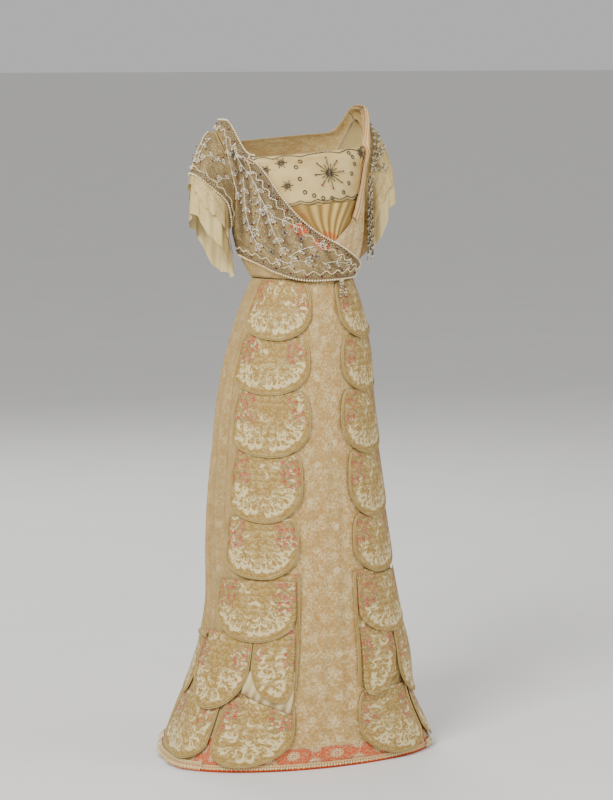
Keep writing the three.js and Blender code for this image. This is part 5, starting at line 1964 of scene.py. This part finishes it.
@dataclass
class BeadWork:
    """Pearl strings, bugle sprays, steel stars, garnets, and the hanging strings and tassels."""

    finishes: Finishes
    box: BeadBox = field(default_factory=BeadBox)
    pearl: float = 4.5
    pitch: float = 4.9
    small_pearl: float = 3.4
    small_pitch: float = 3.9
    wave: float = 24
    seated: float = 0.45
    on_cloth: float = 0.8

    def string(self, stock: Stock, line: Track, near: Lift, extra: float, small: bool = False) -> None:
        """Sew a string of pearls along a line.

        Args:
            stock: where it goes.
            line: the line.
            near: how far the cloth under it stands from the surface.
            extra: how far above that the pearls sit.
            small: whether they are the small pearls.
        """
        size, pitch = (self.small_pearl, self.small_pitch) if small else (self.pearl, self.pitch)
        even = line.spaced(pitch)
        lift = near(even.u, even.v) + extra + size * self.seated
        self.box.strew(stock, Trim.PEARL, even.points(lift), even.out(), even.ahead(), size)

    def waved(self, line: Track, inset: float, swing: float) -> Track:
        """Give a wavy line that swings this far each way, inset from another."""
        even = line.spaced(2.0)
        run = lengths(even.points(0.0))
        return even.shifted(inset + swing * np.sin(run / self.wave * 2 * math.pi))

    def pearls(self) -> None:
        """Sew the pearl edges and the wavy pearl lines of the right drape and cap."""
        stock = Stock()
        for line in (neck_line(), lower_line()):
            self.string(stock, line, right_front_near, self.on_cloth)
            self.string(stock, self.waved(line, -16, 3.2), right_front_near, self.on_cloth, True)
        for line in back_lines():
            self.string(stock, line, right_back_near, self.on_cloth)
        surface = partial(FORM.sleeve, -1)
        around = np.linspace(-143, 143, 200)
        edge = Track(surface, -around, CAP_EDGE["right"](around) - 0.004)
        self.string(stock, edge, first_near, 1.0)
        self.string(stock, self.waved(edge, 14, 2.8), first_near, 0.87, True)
        outer = Track(surface, np.array([-14.0, -20.0, -16.0, -10.0]), np.array([0.10, 0.26, 0.42, 0.55]))
        self.string(stock, outer, first_near, 1.0)
        stock.piece("drape_pearls", [self.finishes.pearl], "beads")

    def leaf(self, stocks: dict[str, Stock], root: Track, angle: float, length: float, lift: float) -> None:
        """Sew one leaf of bugle beads with a garnet at its tip.

        Args:
            stocks: the gathered beads by kind.
            root: the leaf's root, as a line of one point.
            angle: the way it points, in degrees from the level.
            length: how long it is.
            lift: how far above the surface it lies.
        """
        base, out = root.points(0.0)[0], root.out()[0]
        east, north = compass(out)
        ahead = math.cos(angle * DEGREE) * east + math.sin(angle * DEGREE) * north
        side = np.cross(out, ahead)
        for sign in (-1, 1):
            corner = base + ahead * length * 0.5 + side * sign * length * 0.17
            for start, end in ((base, corner), (corner, base + ahead * length)):
                run = end - start
                size = (1.5, 1.5, float(np.linalg.norm(run)) * 0.92)
                self.box.strew(stocks["glass"], Trim.BUGLE, (start + end) / 2 + out * lift, out, run, size)
        tip = base + ahead * length * 1.12 + out * (lift + 0.4)
        self.box.strew(stocks["garnet"], Trim.CABOCHON, tip, ahead, out, (3.8, 3.8, 2.6))

    def star(self, stocks: dict[str, Stock], spot: Track, size: float, rays: int, lift: float,
             tips: bool = False, kind: str = "steel") -> None:
        """Sew a star of bugle beads round a cabochon.

        Args:
            stocks: the gathered beads by kind.
            spot: its middle, as a line of one point.
            size: its radius.
            rays: how many rays it has.
            lift: how far above the surface it lies.
            tips: whether its long rays end in garnets.
            kind: the rays' beads.
        """
        base, out = spot.points(0.0)[0], spot.out()[0]
        east, north = compass(out)
        first = 2.4
        for ray in range(rays):
            angle = 2 * math.pi * (ray + 0.25) / rays
            reach = size * (1 if ray % 2 == 0 else 0.68)
            ahead = math.cos(angle) * east + math.sin(angle) * north
            count = 2 if reach > 12 else 1
            long = (reach - first) / count
            for part in range(count):
                at = base + ahead * (first + long * (part + 0.5)) + out * lift
                self.box.strew(stocks[kind], Trim.BUGLE, at, out, ahead, (1.9, 1.9, long * 0.86))
            if tips and ray % 2 == 0:
                tip = base + ahead * (reach + 1.6) + out * (lift + 0.3)
                self.box.strew(stocks["garnet"], Trim.CABOCHON, tip, ahead, out, (5.0, 5.0, 3.2))
        centre = base + out * (lift + 0.4)
        self.box.strew(stocks["garnet"], Trim.CABOCHON, centre, east, out, (4.0, 4.0, 2.8))

    def yoke_stars(self, stocks: dict[str, Stock]) -> None:
        """Sew the yoke's stars, rings and scalloped bead lines."""
        lift = FIRST_LAYER + 1.3 + 0.6
        self.star(stocks, spot_at(FORM.bodice, 8, 0.625), 31, 16, lift, True)
        for turn, level, size in ((-22, 0.805, 13), (-25, 0.555, 13), (39, 0.85, 13), (-38, 0.72, 11)):
            self.star(stocks, spot_at(FORM.bodice, turn, level), size, 12, lift)
        for turn, level in (
            (-8, 0.80), (-13, 0.72), (-13.5, 0.60), (-12, 0.50), (-5, 0.475), (2, 0.455), (10, 0.45),
            (22, 0.475), (28, 0.53), (31, 0.60), (33.5, 0.69), (29, 0.79), (24, 0.87),
        ):
            one = spot_at(FORM.bodice, turn, level)
            east, _ = compass(one.out()[0])
            self.box.strew(stocks["steel"], Trim.RING, one.points(lift), east, one.out(), (9.6, 9.6, 6))
        u = np.linspace(0.01, 0.93, 300)
        for level in (0.895 + 0.055 * np.abs(np.sin(math.pi * 5 * u)),
                      0.452 - 0.014 * np.abs(np.sin(math.pi * 7 * u))):
            line = Track(FORM.bodice, -46 + 101 * u, level).spaced(2.9)
            self.box.strew(stocks["steel"], Trim.PEARL, line.points(lift), line.out(), line.ahead(), 2.5)

    def vine(self, stocks: dict[str, Stock], stem: Track, lift: float, length: float, apart: float) -> None:
        """Sew a beaded stem with leaves on alternate sides.

        Args:
            stocks: the gathered beads by kind.
            stem: its line.
            lift: how far above the surface it lies.
            length: how long its leaves are.
            apart: how far apart they grow.
        """
        even = stem.spaced(4.6)
        line = even.points(lift)
        ahead = np.gradient(line, axis=0)
        self.box.strew(stocks["glass"], Trim.BUGLE, line, even.out(), ahead, (1.8, 1.8, 4.2))
        joints = stem.spaced(apart)
        count = len(joints.u)
        for number, (along, out) in enumerate(zip(joints.ahead(), joints.out())):
            east, north = compass(out)
            heading = math.atan2(float(along @ north), float(along @ east)) / DEGREE
            root = spot_at(stem.surface, joints.u[number], joints.v[number])
            sides = (44, -50) if number % 2 else (-44,)
            for aside in (-38, 0, 38) if number == count - 1 else sides:
                reach = length * (1.0 if abs(aside) < 46 else 0.75)
                self.leaf(stocks, root, heading + aside, reach, lift)

    def sprays(self, stocks: dict[str, Stock]) -> None:
        """Sew the vines and blossoms of the right drape and cap."""
        for stem in (
            ((-66, 0.93), (-60, 0.80), (-55, 0.66), (-52, 0.565), (-50, 0.47), (-53, 0.38), (-58, 0.30)),
            ((-50, 0.50), (-46, 0.42), (-40, 0.37), (-32, 0.345), (-25, 0.315)),
            ((-46, 0.42), (-44, 0.33), (-41, 0.25), (-37, 0.19)),
            ((-64, 0.62), (-67, 0.50), (-68, 0.40), (-66, 0.30), (-61, 0.21)),
            ((-31, 0.150), (-24, 0.17), (-14, 0.190), (-5, 0.195)),
            ((-43, 0.14), (-34, 0.118), (-26, 0.13), (-18, 0.125)),
            ((0, 0.115), (8, 0.12), (16, 0.115), (24, 0.11)),
            ((-76, 0.88), (-78, 0.76), (-79, 0.64), (-76, 0.52)),
        ):
            line = through(FORM.bodice, stem, 40)
            lift = float(right_front_near(line.u, line.v).mean()) + self.on_cloth + 0.9
            self.vine(stocks, line, lift, 17, 19)
        for turn, level in (
            (-60, 0.70), (-47, 0.60), (-41, 0.49), (-60, 0.46), (-33, 0.27), (-8, 0.145), (-47, 0.17),
            (-70, 0.33), (-72, 0.66), (20, 0.075), (-20, 0.235), (-70, 0.80), (-54, 0.90),
        ):
            lift = float(right_front_near(turn, level)) + self.on_cloth + 0.8
            self.star(stocks, spot_at(FORM.bodice, turn, level), 8.5, 8, lift, kind="silver")
        for stem in (
            ((-70, 0.10), (-60, 0.17), (-48, 0.24), (-40, 0.32)),
            ((-88, 0.10), (-84, 0.18), (-78, 0.26)),
            ((-30, 0.12), (-28, 0.22), (-26, 0.33), (-24, 0.42)),
            ((60, 0.12), (56, 0.2), (52, 0.3)),
            ((20, 0.12), (16, 0.22), (14, 0.34)),
        ):
            self.vine(stocks, through(partial(FORM.sleeve, -1), stem, 24), FIRST_LAYER + 2.0, 12, 13)

    def garnets(self, stocks: dict[str, Stock]) -> None:
        """Sew single garnets in the borders between the pearl lines."""
        for line in (neck_line(), lower_line()):
            even = line.spaced(30).shifted(-8)
            at = even.points(right_front_near(even.u, even.v) + self.on_cloth + 0.8)
            self.box.strew(stocks["garnet"], Trim.CABOCHON, at, even.ahead(), even.out(), (5.2, 5.2, 3.4))

    def festoon(self) -> None:
        """Hang the bead strings and the tassel of the left shoulder."""
        surface = partial(FORM.sleeve, 1)
        stock = Stock()
        lift = FIRST_LAYER + CLOTH + 1.2 + 1.4 * 2.2
        part = np.concatenate([np.linspace(0.05, 1, 30), np.linspace(1, 0.05, 30)])
        loop = np.repeat([1, -1], 30) * part * np.sqrt(np.maximum(0, 1 - part**6))
        for direction, reach in ((-16, 62), (14, 56), (40, 58), (66, 66)):
            down, cross = math.cos(direction * DEGREE), math.sin(direction * DEGREE)
            for wide in (5.5, 2.2):
                top = reach * part * down + wide * loop * cross
                cuff = reach * part * cross - wide * loop * down
                even = Track(surface, 90 - top * 1.1, 0.21 + cuff * 0.0047).spaced(4.6)
                at, out, ahead = even.points(lift), even.out(), even.ahead()
                glass = np.arange(len(at)) % 3 != 2
                self.box.strew(stock, Trim.BUGLE, at[glass], out[glass], ahead[glass], (2.3, 2.3, 4.2))
                self.box.strew(stock, Trim.PEARL, at[~glass], out[~glass], ahead[~glass], 3.8, 1)
        for count in range(46):
            angle, ring = count * 2.4, math.sqrt(count / 46)
            spot = spot_at(surface, 90 + 9 * ring * math.cos(angle), 0.21 + 0.04 * ring * math.sin(angle))
            self.box.strew(stock, Trim.PEARL, spot.points(lift - 0.5), spot.out(), spot.out(), 3, count % 2)
        made = stock.piece("festoon_beads", [self.finishes.silver, self.finishes.pearl], "beads")
        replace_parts(made, "bead_festoon")
        self.tassel("shoulder_tassel", (151, -77, -129.8), 168, 0, 3.4, (155, -69, -129.8), (12, 20, 4.4), 1)
        self.tassel("waist_tassel", (43, -170.2, -333.4), 30, -11, 3.6, (43, -170.2, -333.4), (8, 5, 5), 3)

    def tassel(self, name: str, head: tuple[float, float, float], length: float, lean: float, apart: float,
               block: tuple[float, float, float], size: tuple[float, float, float], end_slot: int) -> None:
        """Hang one tassel of five strands.

        Args:
            name: its node's name.
            head: where its strands start.
            length: how long they are.
            lean: how far they lean forwards.
            apart: how far apart they end.
            block: the middle of its head.
            size: the head's width, depth and height.
            end_slot: the material's place of the bead that ends each strand.
        """
        stock = Stock()
        front, up = (0, -1, 0), (0, 0, 1)
        for strand in range(5):
            reach = length * (1 - 0.06 * (strand % 3))
            steps = np.linspace(0, 1, int(reach / 4.4))
            sway = 1.2 * np.sin(steps * 9 + strand * 2) * steps
            x = head[0] + (strand - 2) * apart * (0.45 + 0.55 * steps) + sway
            y = head[1] + ((0.66 if strand % 2 else -0.66) + lean) * steps
            line = np.stack([x, y, head[2] - reach * steps], -1)
            ahead = np.gradient(line, axis=0)
            kinds = (np.arange(len(line)) + strand) % 4
            for slot, pick, shape, wide in (
                (0, kinds < 2, Trim.BUGLE, (2.9, 2.9, 4.1)),
                (2, kinds == 2, Trim.BUGLE, (3.0, 3.0, 4.1)),
                (1, kinds == 3, Trim.PEARL, 3.6),
            ):
                out = np.tile(front, (int(pick.sum()), 1))
                self.box.strew(stock, shape, line[pick], out, ahead[pick], wide, slot)
            end = line[-1] - [0, 0, 3.0]
            self.box.strew(stock, Trim.PEARL, end, front, ahead[-1], (3.8, 3.8, 4.6), end_slot)
        for count in range(34):
            part, angle = (count + 0.5) / 34, count * 2.4
            ring = math.sqrt(part)
            at = block + np.array(size) * 0.5 * [math.cos(angle) * ring, math.sin(angle) * ring, 2 * part - 1]
            self.box.strew(stock, Trim.PEARL, at, front, up, 3, count % 3 and 1)
        finishes = [self.finishes.silver, self.finishes.pearl, self.finishes.steel, self.finishes.garnet]
        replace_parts(stock.piece(name + "_beads", finishes, "beads"), name)

    def build(self) -> None:
        """Sew all the bead work."""
        self.pearls()
        stocks = {kind: Stock() for kind in ("glass", "garnet", "steel", "silver")}
        self.yoke_stars(stocks)
        self.sprays(stocks)
        self.garnets(stocks)
        for kind, stock in stocks.items():
            stock.piece(f"sewn_{kind}", [getattr(self.finishes, kind)], "beads")
        self.festoon()


# ---- The studio ----
@dataclass(frozen=True)
class Studio:
    """A plain pale floor, soft light and the camera."""

    camera_at: tuple[float, float, float] = (-2.608, -5.950, 0.158)
    aim: tuple[float, float, float] = (0.034, -0.015, -0.593)
    lens: float = 141.3

    def build(self) -> None:
        """Set up the floor, the lights and the camera."""
        unselect()
        bpy.ops.mesh.primitive_plane_add(size=240, location=(0, 0, FLOOR * UNIT))
        floor = bpy.context.object
        floor.name = "studio_floor"
        bench = Bench("studio_floor")
        x, y, _ = bench.place()
        cloud = bench.noise(bench.joined(x, y), 3, 3)
        floor.data.materials.append(bench.finish({
            "Base Color": bench.mix(cloud, srgb(232, 231, 229), srgb(224, 223, 221)), "Roughness": 0.9}))
        self.lights()
        data = bpy.data.cameras.new("camera")
        camera = bpy.data.objects.new("camera", data)
        bpy.context.scene.collection.objects.link(camera)
        data.lens, data.clip_start, data.clip_end = self.lens, 0.1, 400
        camera.location = self.camera_at
        away = [a - b for a, b in zip(self.aim, self.camera_at)]
        flat = math.hypot(away[0], away[1])
        camera.rotation_euler = (math.pi / 2 + math.atan2(away[2], flat), 0, math.atan2(-away[0], away[1]))
        bpy.context.scene.camera = camera

    @staticmethod
    def lights() -> None:
        """Add the soft lights and the pale surround."""
        for name, place, power, size in (
            ("key", (-3.4, -3.0, 2.6), 350, 1.8),
            ("fill", (3.4, -3.4, 0.8), 90, 3.0),
            ("back", (0.5, 4.0, 2.2), 110, 3.0),
        ):
            data = bpy.data.lights.new(name, "AREA")
            data.energy, data.size = power, size
            lamp = bpy.data.objects.new(name, data)
            lamp.location = place
            flat = math.hypot(place[0], place[1])
            drop = place[2] + 0.6
            lamp.rotation_euler = (math.atan2(flat, drop), 0, math.atan2(-place[0], place[1]) + math.pi)
            bpy.context.scene.collection.objects.link(lamp)
        world = bpy.data.worlds.new("surround")
        bpy.context.scene.world = world
        world.use_nodes = True
        back = world.node_tree.nodes["Background"]
        back.inputs[0].default_value = (*srgb(240, 240, 240), 1)
        back.inputs[1].default_value = 0.62


def main() -> None:
    """Build the dress in order."""
    logging.basicConfig(level=logging.INFO, format="%(message)s")
    Studio().build()
    finishes = Finishes()
    Skirt(finishes).build()
    Bodice(finishes).build()
    Sleeves(finishes).build()
    for row in PETALS:
        for side in (-1, 1):
            Petal(finishes, row, side).build()
    BeadWork(finishes).build()


if __name__ == "__main__":
    main()
